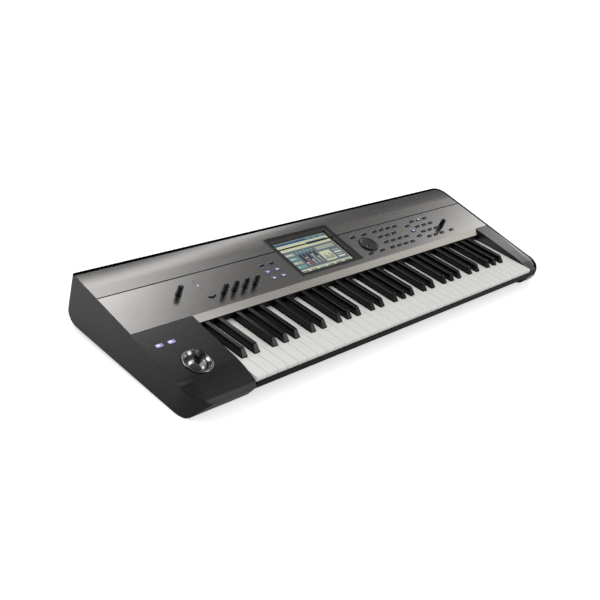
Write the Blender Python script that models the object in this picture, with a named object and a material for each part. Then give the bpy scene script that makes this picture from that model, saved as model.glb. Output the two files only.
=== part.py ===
"""A 61-key music workstation: end blocks, folded aluminium panel, key combs, joystick and controls.

X runs along the keyboard (bass to treble), -Y points at the player and +Z is up.
The origin is on the table, under the middle of the case.
"""

import math

import bmesh
import bpy
from mathutils import Matrix, Vector

MM = 0.001

# Overall size
WIDTH = 1027 * MM
DEPTH = 313 * MM
HEIGHT = 93 * MM
HALF_WIDTH = WIDTH / 2
HALF_DEPTH = DEPTH / 2
FRONT_Y = -HALF_DEPTH

# Case
WALL = 3.5 * MM
GAP = 0.3 * MM
OVERCUT = 10 * MM
FOOT_HEIGHT = 10 * MM
FOOT_RADIUS = 12 * MM
FOOT_INSET_X = 75 * MM
FOOT_INSET_FRONT = 62 * MM
FOOT_INSET_REAR = 50 * MM
FOOT_SIDES = 16
FOOT_TAPER = 0.6 * MM
FOOT_BREAK = 1.6 * MM
FLOOR_THICKNESS = 2 * MM
FLOOR_TOP = FOOT_HEIGHT + FLOOR_THICKNESS
FLOOR_FRONT_Y = FRONT_Y + 27 * MM

# Top surface: a plane that climbs to the rear, rolled over at the back and at the front of the blocks
PANEL_REAR_Z = HEIGHT - 1.6 * MM
PANEL_RISE = 0.163
SLOPE = math.atan(PANEL_RISE)
ROLL_START_FROM_REAR = 7.5 * MM
ROLL_RADIUS = 30 * MM
PAD_RISE = 0.135
PAD_SLOPE = math.atan(PAD_RISE)
NOSE_ROLL_Y = FRONT_Y + 51.5 * MM
NOSE_ROLL_RADIUS = 128 * MM
CROWN = 3 * MM
CROWN_WIDTH = 24 * MM
SHEET = 2.0 * MM
RIM = 1.8 * MM
GROOVE_Y = HALF_DEPTH - 66.3 * MM
GROOVE_WIDTH = 1.0 * MM
PANEL_FRONT_Y = HALF_DEPTH - 153.2 * MM
LIP_RUN = 11.7 * MM
LIP_DROP = 8.3 * MM

# End blocks
LEFT_BLOCK_WIDTH = 125.8 * MM
RIGHT_BLOCK_WIDTH = 53 * MM
LEFT_BLOCK_X = -HALF_WIDTH + LEFT_BLOCK_WIDTH
RIGHT_BLOCK_X = HALF_WIDTH - RIGHT_BLOCK_WIDTH
FRONT_CORNER_RADIUS = 41 * MM
REAR_CORNER_RADIUS_LEFT = 6.8 * MM
REAR_CORNER_RADIUS_RIGHT = 26 * MM
CORNER_STEPS = 7
LEAST_CORNER = 2 * MM
NOSE_STEPS = 4
REAR_ROLL_STEPS = 3
SHEET_ROLL_STEPS = 5
TOE_STEPS = 5
HEEL_STEPS = 6
FLOOR_CORNER_STEPS = 4
REAR_WRAP = 35 * MM
REAR_LEAN = 4 * MM
HEEL_RADIUS = 28 * MM
HEEL_Z = 9.4 * MM
HEEL_FRONT_Y = HALF_DEPTH - WALL - REAR_LEAN - HEEL_RADIUS
HEEL_BREAK_BACK = 0.45 * HEEL_RADIUS
HEEL_BREAK_RISE = 0.2 * HEEL_RADIUS
TOE_Z = 0.8 * MM
TOE_RADIUS = 14 * MM
TOE_BACK = 18 * MM
NOSE_LOW_Z = 30 * MM
NOSE_BACK = 6 * MM
SKIN = 3 * MM
SLOPED_SKIN = 1.4 * SKIN
LEDGE_DEPTH = 3 * MM
LEDGE_WIDTH = 8 * MM
BAY_LEFT = LEFT_BLOCK_X + GAP
BAY_RIGHT = RIGHT_BLOCK_X - GAP
REAR_PANEL_HALF = HALF_WIDTH - REAR_WRAP - GAP

# Keys
OCTAVES = 5
SINGLE_OCTAVE = OCTAVES // 2
WHITES_PER_OCTAVE = 7
NATURALS = OCTAVES * WHITES_PER_OCTAVE + 1
SHARP_CENTRES = [0.89, 2.09, 3.87, 5.01, 6.15]
NATURAL_NAMES = ["c", "d", "e", "f", "g", "a", "b"]
SHARP_NAMES = ["c_sharp", "d_sharp", "f_sharp", "g_sharp", "a_sharp"]
COMB_A = [0, 2, 4, 6]
COMB_B = [1, 3, 5]
BLOCK_KEY_GAP = 1 * MM
KEYS_LEFT = LEFT_BLOCK_X + BLOCK_KEY_GAP
KEYS_RIGHT = RIGHT_BLOCK_X - BLOCK_KEY_GAP
KEY_PITCH = (KEYS_RIGHT - KEYS_LEFT) / NATURALS
KEY_GAP = 1.0 * MM
KEY_TOP_Z = 44 * MM
KEY_FRONT_Y = FRONT_Y + 5.2 * MM
KEY_LIP = 8.4 * MM
KEY_CHAMFER = 0.5 * MM
KEY_DEPTH = 14 * MM
KEY_BODY_FROM_FRONT = 11.4 * MM
KEY_TAIL_END_Y = PANEL_FRONT_Y + 4.5 * MM
KEY_WALL = 1.8 * MM
KEY_ROOF = 2.6 * MM
SHARP_WIDTH = 12.2 * MM
SHARP_TOP_WIDTH = 8.8 * MM
SHARP_SHOULDER = 0.85
SHARP_HEIGHT = 12.8 * MM
SHARP_FRONT_STEP = 1.5 * MM
SHARP_FROM_FRONT = 49 * MM
SHARP_SLOPE_RUN = 8.6 * MM
SHARP_CREST_RUN = 2 * MM
SHARP_CREST_DROP = 0.8 * MM
SHARP_BEVEL = 1.0 * MM
ARM_BEVEL = 0.3 * MM
SHARP_SIDE_GAP = 1.0 * MM
SHARP_END_Y = PANEL_FRONT_Y - 12.5 * MM
SHARP_BOTTOM_LIFT = 2 * MM
STEP_RUN = 0.4 * MM
ARM_DROP = 1.2 * MM
ARM_DEPTH = 6.4 * MM
ARM_SIDE_GAP = 0.6 * MM
HUB_LENGTH = 6 * MM
HUB_SPACING = HUB_LENGTH + 2 * MM
HUB_Z = KEY_TOP_Z - 13.7 * MM
RAIL_DEPTH = 5 * MM
RAIL_INSET = 0.5 * MM
FIRST_HUB_Y = PANEL_FRONT_Y + 46.7 * MM
HUB_Y = {
    "natural_a": FIRST_HUB_Y,
    "natural_b": FIRST_HUB_Y + HUB_SPACING,
    "sharp": FIRST_HUB_Y + 2 * HUB_SPACING,
}

# Front rail and key bed
RAIL_GAP = 1.2 * MM
RAIL_TOP_Z = KEY_TOP_Z - 8.1 * MM
RAIL_TOP_WIDTH = 2 * MM
RAIL_BREAK = 0.6 * MM
RAIL_LOW_Z = RAIL_TOP_Z - 7.6 * MM
APRON_RUN = 21.5 * MM
APRON_WALL = 2.6 * MM
BED_SHEET = 1.8 * MM
BED_STOP_Z = KEY_TOP_Z - 23.7 * MM
BED_STOP_Y = FRONT_Y + 32.5 * MM
BED_STOP_WIDTH = 10 * MM
BED_SUPPORT_MARGIN = 4 * MM
STRIP_THICKNESS = 2.2 * MM
STRIP_ABOVE_KEYS = 1.3 * MM
STRIP_BACK = 1.0 * MM

# Display: outer edge of the bezel in plan, and the window inside it
BEZEL_LEFT = -109 * MM
BEZEL_FRONT = 15 * MM
BEZEL_WIDTH = 177 * MM
BEZEL_LENGTH = 110.6 * MM
BEZEL_X = (BEZEL_LEFT, BEZEL_LEFT + BEZEL_WIDTH)
BEZEL_Y = (BEZEL_FRONT, BEZEL_FRONT + BEZEL_LENGTH)
BEZEL_FLANGE = 3.4 * MM
BEZEL_PROUD = 1.3 * MM
BEZEL_BREAK = 0.5 * MM
BEZEL_DEPTH = 6 * MM
WINDOW_MARGIN_LEFT = 11 * MM
WINDOW_MARGIN_RIGHT = 14.4 * MM
WINDOW_MARGIN_FRONT = 9.2 * MM
WINDOW_MARGIN_REAR = 12.9 * MM
WINDOW_X = (BEZEL_X[0] + WINDOW_MARGIN_LEFT, BEZEL_X[1] - WINDOW_MARGIN_RIGHT)
WINDOW_Y = (BEZEL_Y[0] + WINDOW_MARGIN_FRONT, BEZEL_Y[1] - WINDOW_MARGIN_REAR)
WINDOW_SLOPE = 4 * MM
WINDOW_SLOPE_DROP = 3 * MM
SCREEN_OVERLAP = 3 * MM
SCREEN_THICKNESS = 2.5 * MM

# Buttons: rows count from the front, columns from the display's edge
BUTTON = (12.2 * MM, 5.0 * MM)
BUTTON_PROUD = 1.7 * MM
BUTTON_CROWN = 0.6 * MM
BUTTON_GAP = 0.35 * MM
BUTTON_TRAVEL = 0.6 * MM
MAT_THICKNESS = 1.4 * MM
MAT_MARGIN = 3.5 * MM
STRIP_MARGIN = 1.2 * MM
MAT_SPINE = 5 * MM
MAT_TOP = -SHEET - BUTTON_TRAVEL
ROWS = 4
FIRST_ROW_Y = 20.8 * MM
ROW_PITCH = 17.45 * MM
ROW_Y = [FIRST_ROW_Y + i * ROW_PITCH for i in range(ROWS)]
BETWEEN_ROWS_Y = [y + ROW_PITCH / 2 for y in ROW_Y[:-1]]
BANK_COLUMNS = 4
BANK_FIRST_X = BEZEL_X[1] + 102.6 * MM
BANK_PITCH = 23 * MM
SEQUENCER_COLUMNS = 3
SEQUENCER_FIRST_X = BEZEL_X[1] + 233.5 * MM
SEQUENCER_PITCH = 23.6 * MM
PLAY_SHIFT = 1.5 * MM
SIDE_COLUMN_X = SEQUENCER_FIRST_X - 26.1 * MM
TAP_X = SEQUENCER_FIRST_X + 82.8 * MM
LEFT_COLUMNS = 2
LEFT_FIRST_X = BEZEL_X[0] - 61.6 * MM
LEFT_PITCH = 24.4 * MM

# Knobs, dial and select button
KNOB_RADIUS = 5.3 * MM
KNOB_TOP_RADIUS = 4.9 * MM
KNOB_HEIGHT = 18.05 * MM
KNOB_LIFT = 0.5 * MM
KNOB_SIDES = 12
SKIRT_PROUD = 0.6 * MM
SKIRT_HEIGHT = 1.2 * MM
KNOB_CROWN = 1.4 * MM
SHAFT_RADIUS = 3 * MM
SHAFT_DEPTH = 2.3 * MM
HOLE_CLEARANCE = 0.5 * MM
VOLUME_KNOB = (LEFT_BLOCK_X + 11.9 * MM, 53.6 * MM)
CONTROL_KNOB_LEFT = (LEFT_BLOCK_X + 93.4 * MM, 29.9 * MM)
CONTROL_KNOB_PITCH = 24.8 * MM
CONTROL_KNOBS = 4
TEMPO_KNOB = (SEQUENCER_FIRST_X + 65.8 * MM, 38.5 * MM)
DIAL = (BEZEL_X[1] + 49.9 * MM, 45.2 * MM)
DIAL_RADIUS = 20.5 * MM
DIAL_HEIGHT = 3 * MM
DIAL_DEPTH = 2.2 * MM
DIAL_GAP = 0.6 * MM
DIAL_SIDES = 32
DIAL_RIM = 2.6 * MM
DIAL_DISH = 1 * MM
DIAL_DIMPLE_RADIUS = 5.5 * MM
DIAL_DIMPLE_OUT = 11.5 * MM
DIAL_DIMPLE_BALL = 1.6 * DIAL_DIMPLE_RADIUS
DIAL_BUTTON_SPAN = 36.8 * MM
SELECT_BUTTON = (LEFT_BLOCK_X + 66.7 * MM, 29.1 * MM)
SELECT_SPAN = 15.5 * MM
SELECT_WIDTH = 3.2 * MM
SELECT_BEND = 3.0 * MM

# Left block: joystick and two switches
PAD_LENGTH = PANEL_FRONT_Y - FRONT_Y
JOYSTICK = (-HALF_WIDTH + 59.6 * MM, FRONT_Y + 0.4415 * PAD_LENGTH)
JOYSTICK_RING = 25.6 * MM
JOYSTICK_THROAT = 17.8 * MM
JOYSTICK_CUP = 21.5 * MM
JOYSTICK_CUP_WALL = 1.5 * MM
JOYSTICK_CUP_DEPTH = 28 * MM
JOYSTICK_PIVOT_DEPTH = 15 * MM
JOYSTICK_FLOOR = 2 * MM
RING_HEIGHT = 2.4 * MM
RING_BREAK = 1.5 * MM
RING_BAND = 3.4 * MM
THROAT_LIP = 0.8 * MM
THROAT_DEPTH = 2.0 * MM
DOME_RADIUS = 21 * MM
DOME_WALL = 2 * MM
DOME_HALF_ANGLE = 60
DOME_STEPS = 5
JOYSTICK_SIDES = 24
GIMBAL_OUTER = 9.5 * MM
GIMBAL_INNER = 6.5 * MM
GIMBAL_HEIGHT = 4 * MM
GIMBAL_SIDES = 12
PIN_RADIUS = 1.4 * MM
PIN_SIDES = 8
STICK_RADIUS = 3 * MM
STICK_FOOT_CLEARANCE = 3 * MM
STICK_ROOT_FLARE = 1.3
# Grip, from inside the dome to its crown: height over the dome's top, width, length
GRIP_SECTIONS = [
    (-3 * MM, 12 * MM, 14 * MM),
    (1 * MM, 12 * MM, 14 * MM),
    (4 * MM, 8 * MM, 11 * MM),
    (8 * MM, 12 * MM, 17 * MM),
    (10 * MM, 14.5 * MM, 20 * MM),
    (11 * MM, 12.5 * MM, 18 * MM),
]
GRIP_ROUNDING = 0.75
GRIP_CORNER_STEPS = 3
SWITCH_FIRST_X = -HALF_WIDTH + 27.9 * MM
SWITCH_PITCH = 24 * MM
SWITCH_X = [SWITCH_FIRST_X, SWITCH_FIRST_X + SWITCH_PITCH]
SWITCH_Y = FRONT_Y + 0.767 * PAD_LENGTH
SWITCH = (13 * MM, 6.4 * MM)
SWITCH_DEPTH = 4 * MM
SWITCH_PROUD = 1.2 * MM

# Rear connectors
REAR_SOCKET_Z = 50 * MM
SOCKET_PROUD = 0.5 * MM
SOCKET_ROOT = 2 * MM
SOCKET_SIDES = 10
JACK_BORE = 3.2 * MM
JACK_BOSS = 5.5 * MM
JACK_PITCH = 24 * MM
JACKS = 6
JACK_FIRST_X = -60 * MM
JACK_DEPTH = 20 * MM
BLOCK_HEIGHT = 16 * MM
BLOCK_DEPTH = 24 * MM
BLOCK_MARGIN = 10 * MM
DIN_BORE = 6.8 * MM
DIN_BOSS = 8.6 * MM
DIN_SIDES = 12
DIN_DEPTH = 9 * MM
DIN_FIRST_X = 160 * MM
DIN_PITCH = 26 * MM
DIN_X = [DIN_FIRST_X, DIN_FIRST_X + DIN_PITCH]
DATA_BLOCK_MARGIN = 4 * MM
USB_X = DIN_FIRST_X + 2 * DIN_PITCH
USB = (9 * MM, 8 * MM)
USB_DEPTH = 12 * MM
USB_WALL = 1.5 * MM
INLET_X = HALF_WIDTH - 93.5 * MM
INLET = (30 * MM, 24 * MM)
INLET_RECESS = (24 * MM, 16 * MM)
INLET_DEPTH = 20 * MM
INLET_PIN = (2 * MM, 5 * MM)
INLET_PIN_LENGTH = 13 * MM
INLET_PIN_PITCH = 7 * MM
INLET_PIN_RISE = 2.5 * MM
INLET_PIN_FALL = 1.5 * MM
POWER_X = INLET_X - 48 * MM
POWER = (14 * MM, 11 * MM)
POWER_PROUD = 1.7 * MM
POWER_CROWN = 1 * MM
POWER_DEPTH = 12 * MM

# Main board, on bosses behind the hinges
BOARD_X = (-240 * MM, 300 * MM)
BOARD_Y = (HALF_DEPTH - 70.5 * MM, HALF_DEPTH - 34.5 * MM)
BOARD_THICKNESS = 1.6 * MM
BOSS_HEIGHT = 8 * MM
BOSS_SIDE = 7 * MM
BOSS_COLUMNS = 3


def plane_z(y):
    """Height of the panel plane above the table."""
    return PANEL_REAR_Z + PANEL_RISE * (y - HALF_DEPTH)


def pad_z(y):
    """Height of the end blocks' pads, which lie flatter than the panel behind them."""
    return plane_z(PANEL_FRONT_Y) + PAD_RISE * (y - PANEL_FRONT_Y)


def crown_drop(y):
    """How far a pad's outer edge lies below its flat, most where the nose begins to roll."""
    if y > NOSE_ROLL_Y:
        share = (PANEL_FRONT_Y - y) / (PANEL_FRONT_Y - NOSE_ROLL_Y)
    else:
        share = (y - FRONT_Y) / (NOSE_ROLL_Y - FRONT_Y)
    return CROWN * max(0.0, share)


def top_z(y, crown=0.0):
    """Height of the finished top surface, with its rolls, and its crown where that is asked for."""
    flat = plane_z(y) if y > PANEL_FRONT_Y else pad_z(y)
    rear_roll = max(0.0, y - (HALF_DEPTH - ROLL_START_FROM_REAR)) ** 2 / (2 * ROLL_RADIUS)
    nose_roll = max(0.0, NOSE_ROLL_Y - y) ** 2 / (2 * NOSE_ROLL_RADIUS)
    return flat - rear_roll - nose_roll - crown * crown_drop(y)


def panel_frame(x, y, lift=0.0):
    """A frame on the panel plane over the plan point, with Z along the panel's normal."""
    place = Matrix.Translation((x, y, plane_z(y))) @ Matrix.Rotation(SLOPE, 4, "X")
    return place @ Matrix.Translation((0, 0, lift))


def pad_frame(x, y):
    """A frame on an end block's pad over the plan point, with Z along the pad's normal."""
    return Matrix.Translation((x, y, pad_z(y))) @ Matrix.Rotation(PAD_SLOPE, 4, "X")


def clear_scene():
    for obj in list(bpy.data.objects):
        bpy.data.objects.remove(obj, do_unlink=True)


MATERIALS = {}


def material(name, color, roughness, metallic=0.0):
    if name not in MATERIALS:
        made = bpy.data.materials.new(name)
        made.use_nodes = True
        shader = made.node_tree.nodes["Principled BSDF"]
        shader.inputs["Base Color"].default_value = (*color, 1)
        shader.inputs["Roughness"].default_value = roughness
        shader.inputs["Metallic"].default_value = metallic
        MATERIALS[name] = made
    return MATERIALS[name]


def aluminium():
    return material("brushed_aluminium", (0.42, 0.41, 0.40), 0.38, 0.9)


def black_case():
    return material("black_case", (0.035, 0.035, 0.038), 0.45)


def gloss_black():
    return material("gloss_black", (0.012, 0.012, 0.014), 0.12)


def white_key():
    return material("white_key", (0.78, 0.78, 0.74), 0.3)


def black_key():
    return material("black_key", (0.012, 0.012, 0.014), 0.2)


def knob_black():
    return material("knob_black", (0.02, 0.02, 0.022), 0.4)


def button_grey():
    return material("button_grey", (0.03, 0.03, 0.034), 0.4)


def lit_violet():
    return material("lit_violet", (0.45, 0.38, 0.85), 0.3)


def dark_steel():
    return material("dark_steel", (0.25, 0.25, 0.26), 0.4, 0.9)


def board_green():
    return material("board_green", (0.02, 0.16, 0.07), 0.5)


def screen_glass():
    return material("screen_glass", (0.55, 0.6, 0.45), 0.15)


def rubber():
    return material("rubber", (0.03, 0.03, 0.03), 0.8)


def make_object(name, mesh_maker, finish=None, place=None, helper=False):
    """An object from a bmesh; helpers are cutters and joined shapes that don't render."""
    mesh_maker.normal_update()
    bmesh.ops.recalc_face_normals(mesh_maker, faces=mesh_maker.faces[:])
    mesh = bpy.data.meshes.new(name)
    mesh_maker.to_mesh(mesh)
    mesh_maker.free()
    obj = bpy.data.objects.new(name, mesh)
    bpy.context.collection.objects.link(obj)
    if finish is not None:
        mesh.materials.append(finish)
    if place is not None:
        obj.matrix_world = place
    if helper:
        obj.hide_render = True
        obj.display_type = "WIRE"
    return obj


def boolean(obj, other, operation):
    step = obj.modifiers.new(operation.lower(), "BOOLEAN")
    step.operation = operation
    step.object = other
    step.solver = "EXACT"


def cut(obj, other):
    boolean(obj, other, "DIFFERENCE")


def join(obj, other):
    boolean(obj, other, "UNION")


def add_prism(shape, outline, low, high, lift):
    """Adds a prism: the outline's 2-D points placed by lift(a, b, t) at t = low and t = high."""
    near = [shape.verts.new(lift(a, b, low)) for a, b in outline]
    far = [shape.verts.new(lift(a, b, high)) for a, b in outline]
    shape.faces.new(near)
    shape.faces.new(far[::-1])
    count = len(outline)
    for i in range(count):
        j = (i + 1) % count
        shape.faces.new((near[i], near[j], far[j], far[i]))
    return shape


def prism_x(outline_yz, x_low, x_high, shape=None):
    return add_prism(shape or bmesh.new(), outline_yz, x_low, x_high, lambda a, b, t: (t, a, b))


def prism_y(outline_xz, y_low, y_high, shape=None):
    return add_prism(shape or bmesh.new(), outline_xz, y_low, y_high, lambda a, b, t: (a, t, b))


def prism_z(outline_xy, z_low, z_high, shape=None):
    return add_prism(shape or bmesh.new(), outline_xy, z_low, z_high, lambda a, b, t: (a, b, t))


def rectangle(a_low, a_high, b_low, b_high):
    return [(a_low, b_low), (a_high, b_low), (a_high, b_high), (a_low, b_high)]


def circle(radius, sides, centre=(0, 0)):
    turn = [2 * math.pi * (i + 0.5) / sides for i in range(sides)]
    return [(centre[0] + radius * math.cos(t), centre[1] + radius * math.sin(t)) for t in turn]


def box(low, high, shape=None):
    return prism_z(rectangle(low[0], high[0], low[1], high[1]), low[2], high[2], shape)


def filleted(corners, steps=6):
    """A closed outline from corners (a, b, radius), each rounded by an arc where it has a radius."""
    outline = []
    count = len(corners)
    for i, (a, b, radius) in enumerate(corners):
        corner = Vector((a, b))
        if radius <= 0:
            outline.append((a, b))
            continue
        back = (Vector(corners[i - 1][:2]) - corner).normalized()
        ahead = (Vector(corners[(i + 1) % count][:2]) - corner).normalized()
        half = back.angle(ahead) / 2
        centre = corner + (back + ahead).normalized() * (radius / math.sin(half))
        start = corner + back * (radius / math.tan(half)) - centre
        end = corner + ahead * (radius / math.tan(half)) - centre
        sweep = start.angle_signed(end)
        for k in range(steps + 1):
            turned = start.copy()
            turned.rotate(Matrix.Rotation(-sweep * k / steps, 2))
            outline.append(tuple(centre + turned))
    return outline


def loft(sections):
    """A closed solid through rings of equally many points, capped at both ends."""
    shape = bmesh.new()
    rings = [[shape.verts.new(point) for point in ring] for ring in sections]
    for near, far in zip(rings, rings[1:]):
        count = len(near)
        for i in range(count):
            j = (i + 1) % count
            shape.faces.new((near[i], near[j], far[j], far[i]))
    shape.faces.new(rings[0][::-1])
    shape.faces.new(rings[-1])
    return shape


def add_shape(shape, other):
    """Adds the other shape's faces to this one as a further body."""
    scratch = bpy.data.meshes.new("scratch")
    other.to_mesh(scratch)
    other.free()
    shape.from_mesh(scratch)
    bpy.data.meshes.remove(scratch)
    return shape


def loops_frame(loops):
    """A closed frame whose section is the chain of rectangular loops, joined end to end."""
    shape = bmesh.new()
    rings = [[shape.verts.new(point) for point in ring] for ring in loops]
    for near, far in zip(rings, rings[1:] + rings[:1]):
        for i in range(4):
            j = (i + 1) % 4
            shape.faces.new((near[i], near[j], far[j], far[i]))
    return shape


def revolve(profile, sides):
    """A turned solid from (radius, z) points; a point with radius 0 closes it on the axis."""
    shape = bmesh.new()
    rings = []
    for radius, z in profile:
        if radius == 0:
            rings.append([shape.verts.new((0, 0, z))] * sides)
            continue
        turn = [2 * math.pi * k / sides for k in range(sides)]
        rings.append([shape.verts.new((radius * math.cos(t), radius * math.sin(t), z)) for t in turn])
    closed = profile[0][0] > 0 or profile[-1][0] > 0
    pairs = zip(rings, rings[1:] + rings[:1]) if closed else zip(rings, rings[1:])
    for near, far in pairs:
        for i in range(sides):
            j = (i + 1) % sides
            corners = []
            for vertex in (near[i], near[j], far[j], far[i]):
                if vertex not in corners:
                    corners.append(vertex)
            if len(corners) > 2:
                shape.faces.new(corners)
    return shape


def smooth(obj, angle=30):
    obj.data.shade_smooth()
    obj.data.set_sharp_from_angle(angle=math.radians(angle))


def sampled(low, high, steps):
    return [low + (high - low) * i / steps for i in range(steps + 1)]


def top_points(y_low, y_high, steps, drop=0.0, crown=0.0):
    return [(y, top_z(y, crown) - drop) for y in sampled(y_low, y_high, steps)]


def side_outline(crown):
    """Outline of an end block seen from the side: nose, top, leaning rear, heel and toe."""
    nose_y = FRONT_Y + NOSE_BACK
    roll_y = HALF_DEPTH - ROLL_START_FROM_REAR
    rear_foot_y = HALF_DEPTH - REAR_LEAN
    lower = filleted(
        [
            (HALF_DEPTH, top_z(HALF_DEPTH), 0),
            (rear_foot_y, HEEL_Z, HEEL_RADIUS),
            (FRONT_Y + TOE_BACK, TOE_Z, TOE_RADIUS),
            (FRONT_Y, NOSE_LOW_Z, 0),
        ],
        TOE_STEPS,
    )
    upper = top_points(nose_y, NOSE_ROLL_Y, NOSE_STEPS, crown=crown)
    upper += [(PANEL_FRONT_Y, plane_z(PANEL_FRONT_Y))]
    upper += top_points(roll_y, HALF_DEPTH, REAR_ROLL_STEPS)[:-1]
    return lower + upper


def block_cavity_outline(crown):
    """The hollow inside a block, open at the bottom, with a lower roof where the panel rests."""
    roof_drop = SHEET + GAP + LEDGE_DEPTH
    step_y = PANEL_FRONT_Y - SKIN
    nose_y = FRONT_Y + NOSE_BACK + SKIN
    roll_y = HALF_DEPTH - ROLL_START_FROM_REAR
    rear_y = HALF_DEPTH - WALL
    below = -OVERCUT
    slope_back = SLOPED_SKIN
    outline = [(FRONT_Y + slope_back, NOSE_LOW_Z + GAP)]
    outline += top_points(nose_y, NOSE_ROLL_Y, NOSE_STEPS, SKIN, crown)
    outline += [(step_y, pad_z(step_y) - SKIN), (step_y + STEP_RUN, plane_z(step_y) - roof_drop)]
    outline += [(roll_y, plane_z(roll_y) - roof_drop)]
    outline += [(rear_y, top_z(rear_y) - roof_drop), (rear_y - REAR_LEAN, HEEL_Z + HEEL_RADIUS)]
    outline += [(HEEL_FRONT_Y, HEEL_Z), (HEEL_FRONT_Y, below)]
    outline += [(FRONT_Y + TOE_BACK + slope_back, below), (FRONT_Y + TOE_BACK + slope_back, TOE_Z)]
    return outline


def crowned(outline, inner_x, outer_x, side):
    """A solid across an end block, whose outline at the outer edge has the crown's drop."""
    rings = []
    for x, crown in ((inner_x, 0), (outer_x - side * CROWN_WIDTH, 0), (outer_x, 1)):
        rings.append([(x, y, z) for y, z in outline(crown)])
    shape = loft(rings)
    bmesh.ops.triangulate(shape, faces=[face for face in shape.faces if len(face.verts) == 4])
    return shape


def end_block(name, side, inner_x, rear_radius, finish):
    """One moulded end block: outer wall, nose, top pad and the ledge that carries the panel."""
    outer_x = side * HALF_WIDTH
    block = make_object(name, crowned(side_outline, inner_x, outer_x, side), finish)

    def plan(inset, inner, front_radius, back_radius):
        front = FRONT_Y + inset
        back = HALF_DEPTH - inset
        outside = outer_x - side * inset
        corners = [(inner, front, 0), (outside, front, front_radius)]
        corners += [(outside, back, back_radius), (inner, back, 0)]
        return filleted(corners, CORNER_STEPS)

    over = OVERCUT
    outer_plan = plan(0, inner_x - side * over, FRONT_CORNER_RADIUS, rear_radius)
    footprint = make_object(
        name + "_footprint", prism_z(outer_plan, -over, PANEL_REAR_Z + over), helper=True
    )
    boolean(block, footprint, "INTERSECT")

    hollow = crowned(block_cavity_outline, inner_x + side * SKIN, outer_x, side)
    cavity = make_object(name + "_cavity", hollow, helper=True)
    inner_radius = max(rear_radius - WALL, LEAST_CORNER)
    inner_plan = plan(WALL, inner_x, FRONT_CORNER_RADIUS - WALL, inner_radius)
    cavity_plan = make_object(
        name + "_cavity_plan", prism_z(inner_plan, -2 * over, PANEL_REAR_Z + over), helper=True
    )
    boolean(cavity, cavity_plan, "INTERSECT")
    cut(block, cavity)

    # The seat of the panel, sunk by the sheet, inside the rim
    seat_front = PANEL_FRONT_Y
    seat_rear = HALF_DEPTH - RIM
    seat_drop = SHEET + GAP
    roll_y = HALF_DEPTH - ROLL_START_FROM_REAR
    seat_low = top_points(roll_y, seat_rear, REAR_ROLL_STEPS, seat_drop)
    seat_outline = [(seat_front, plane_z(seat_front) + over), (seat_front, plane_z(seat_front) - seat_drop)]
    seat_outline += seat_low + [(seat_rear, plane_z(seat_rear) + over)]
    seat_x_low, seat_x_high = sorted((inner_x - side * over, outer_x))
    seat = make_object(name + "_seat", prism_x(seat_outline, seat_x_low, seat_x_high), helper=True)
    seat_radius = max(rear_radius - RIM, LEAST_CORNER)
    seat_plan_outline = plan(RIM, inner_x - 2 * side * over, FRONT_CORNER_RADIUS, seat_radius)
    seat_plan = make_object(
        name + "_seat_plan", prism_z(seat_plan_outline, -over, PANEL_REAR_Z + 2 * over), helper=True
    )
    boolean(seat, seat_plan, "INTERSECT")
    cut(block, seat)

    # Behind the pad the block is only its outer wall, the ledge and the wrap round the rear corner
    ledge_x = outer_x - side * (WALL + LEDGE_WIDTH)
    wrap_x = outer_x - side * REAR_WRAP
    open_low, open_high = sorted((inner_x - side * over, ledge_x))
    pad_end = PANEL_FRONT_Y + LEDGE_WIDTH
    clearance = prism_z(
        rectangle(open_low, open_high, pad_end, HALF_DEPTH - WALL - LEDGE_WIDTH),
        -over,
        PANEL_REAR_Z + over,
    )
    wrap_low, wrap_high = sorted((inner_x - side * over, wrap_x))
    rear_opening = prism_z(
        rectangle(wrap_low, wrap_high, HALF_DEPTH - WALL - LEDGE_WIDTH - over, HALF_DEPTH + over),
        -over,
        PANEL_REAR_Z + over,
    )
    opening = make_object(name + "_opening", clearance, helper=True)
    cut(block, opening)
    opening_rear = make_object(name + "_opening_rear", rear_opening, helper=True)
    cut(block, opening_rear)

    # The floor passes under the pad's inner wall
    slot_low, slot_high = sorted((inner_x - side * over, inner_x + side * (SKIN + over)))
    slot = box(
        (slot_low, FLOOR_FRONT_Y - GAP, -over),
        (slot_high, HALF_DEPTH + over, FLOOR_TOP + GAP),
    )
    cut(block, make_object(name + "_slot", slot, helper=True))
    return block


def build_left_block():
    block = end_block("left_end_block", -1, LEFT_BLOCK_X, REAR_CORNER_RADIUS_LEFT, black_case())
    collar = JOYSTICK_CUP + JOYSTICK_CUP_WALL + HOLE_CLEARANCE
    reach = OVERCUT
    cutter = prism_z(circle(collar, JOYSTICK_SIDES), -reach, reach)
    hole = make_object("joystick_hole", cutter, place=pad_frame(*JOYSTICK), helper=True)
    cut(block, hole)
    half_x = SWITCH[0] / 2 + BUTTON_GAP
    half_y = SWITCH[1] / 2 + BUTTON_GAP
    for i, x in enumerate(SWITCH_X):
        cutter = box((-half_x, -half_y, -reach), (half_x, half_y, reach))
        place = pad_frame(x, SWITCH_Y)
        cut(block, make_object(f"switch_hole_{i + 1}", cutter, place=place, helper=True))
    return block


def build_right_block():
    return end_block("right_end_block", 1, RIGHT_BLOCK_X, REAR_CORNER_RADIUS_RIGHT, black_case())


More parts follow.
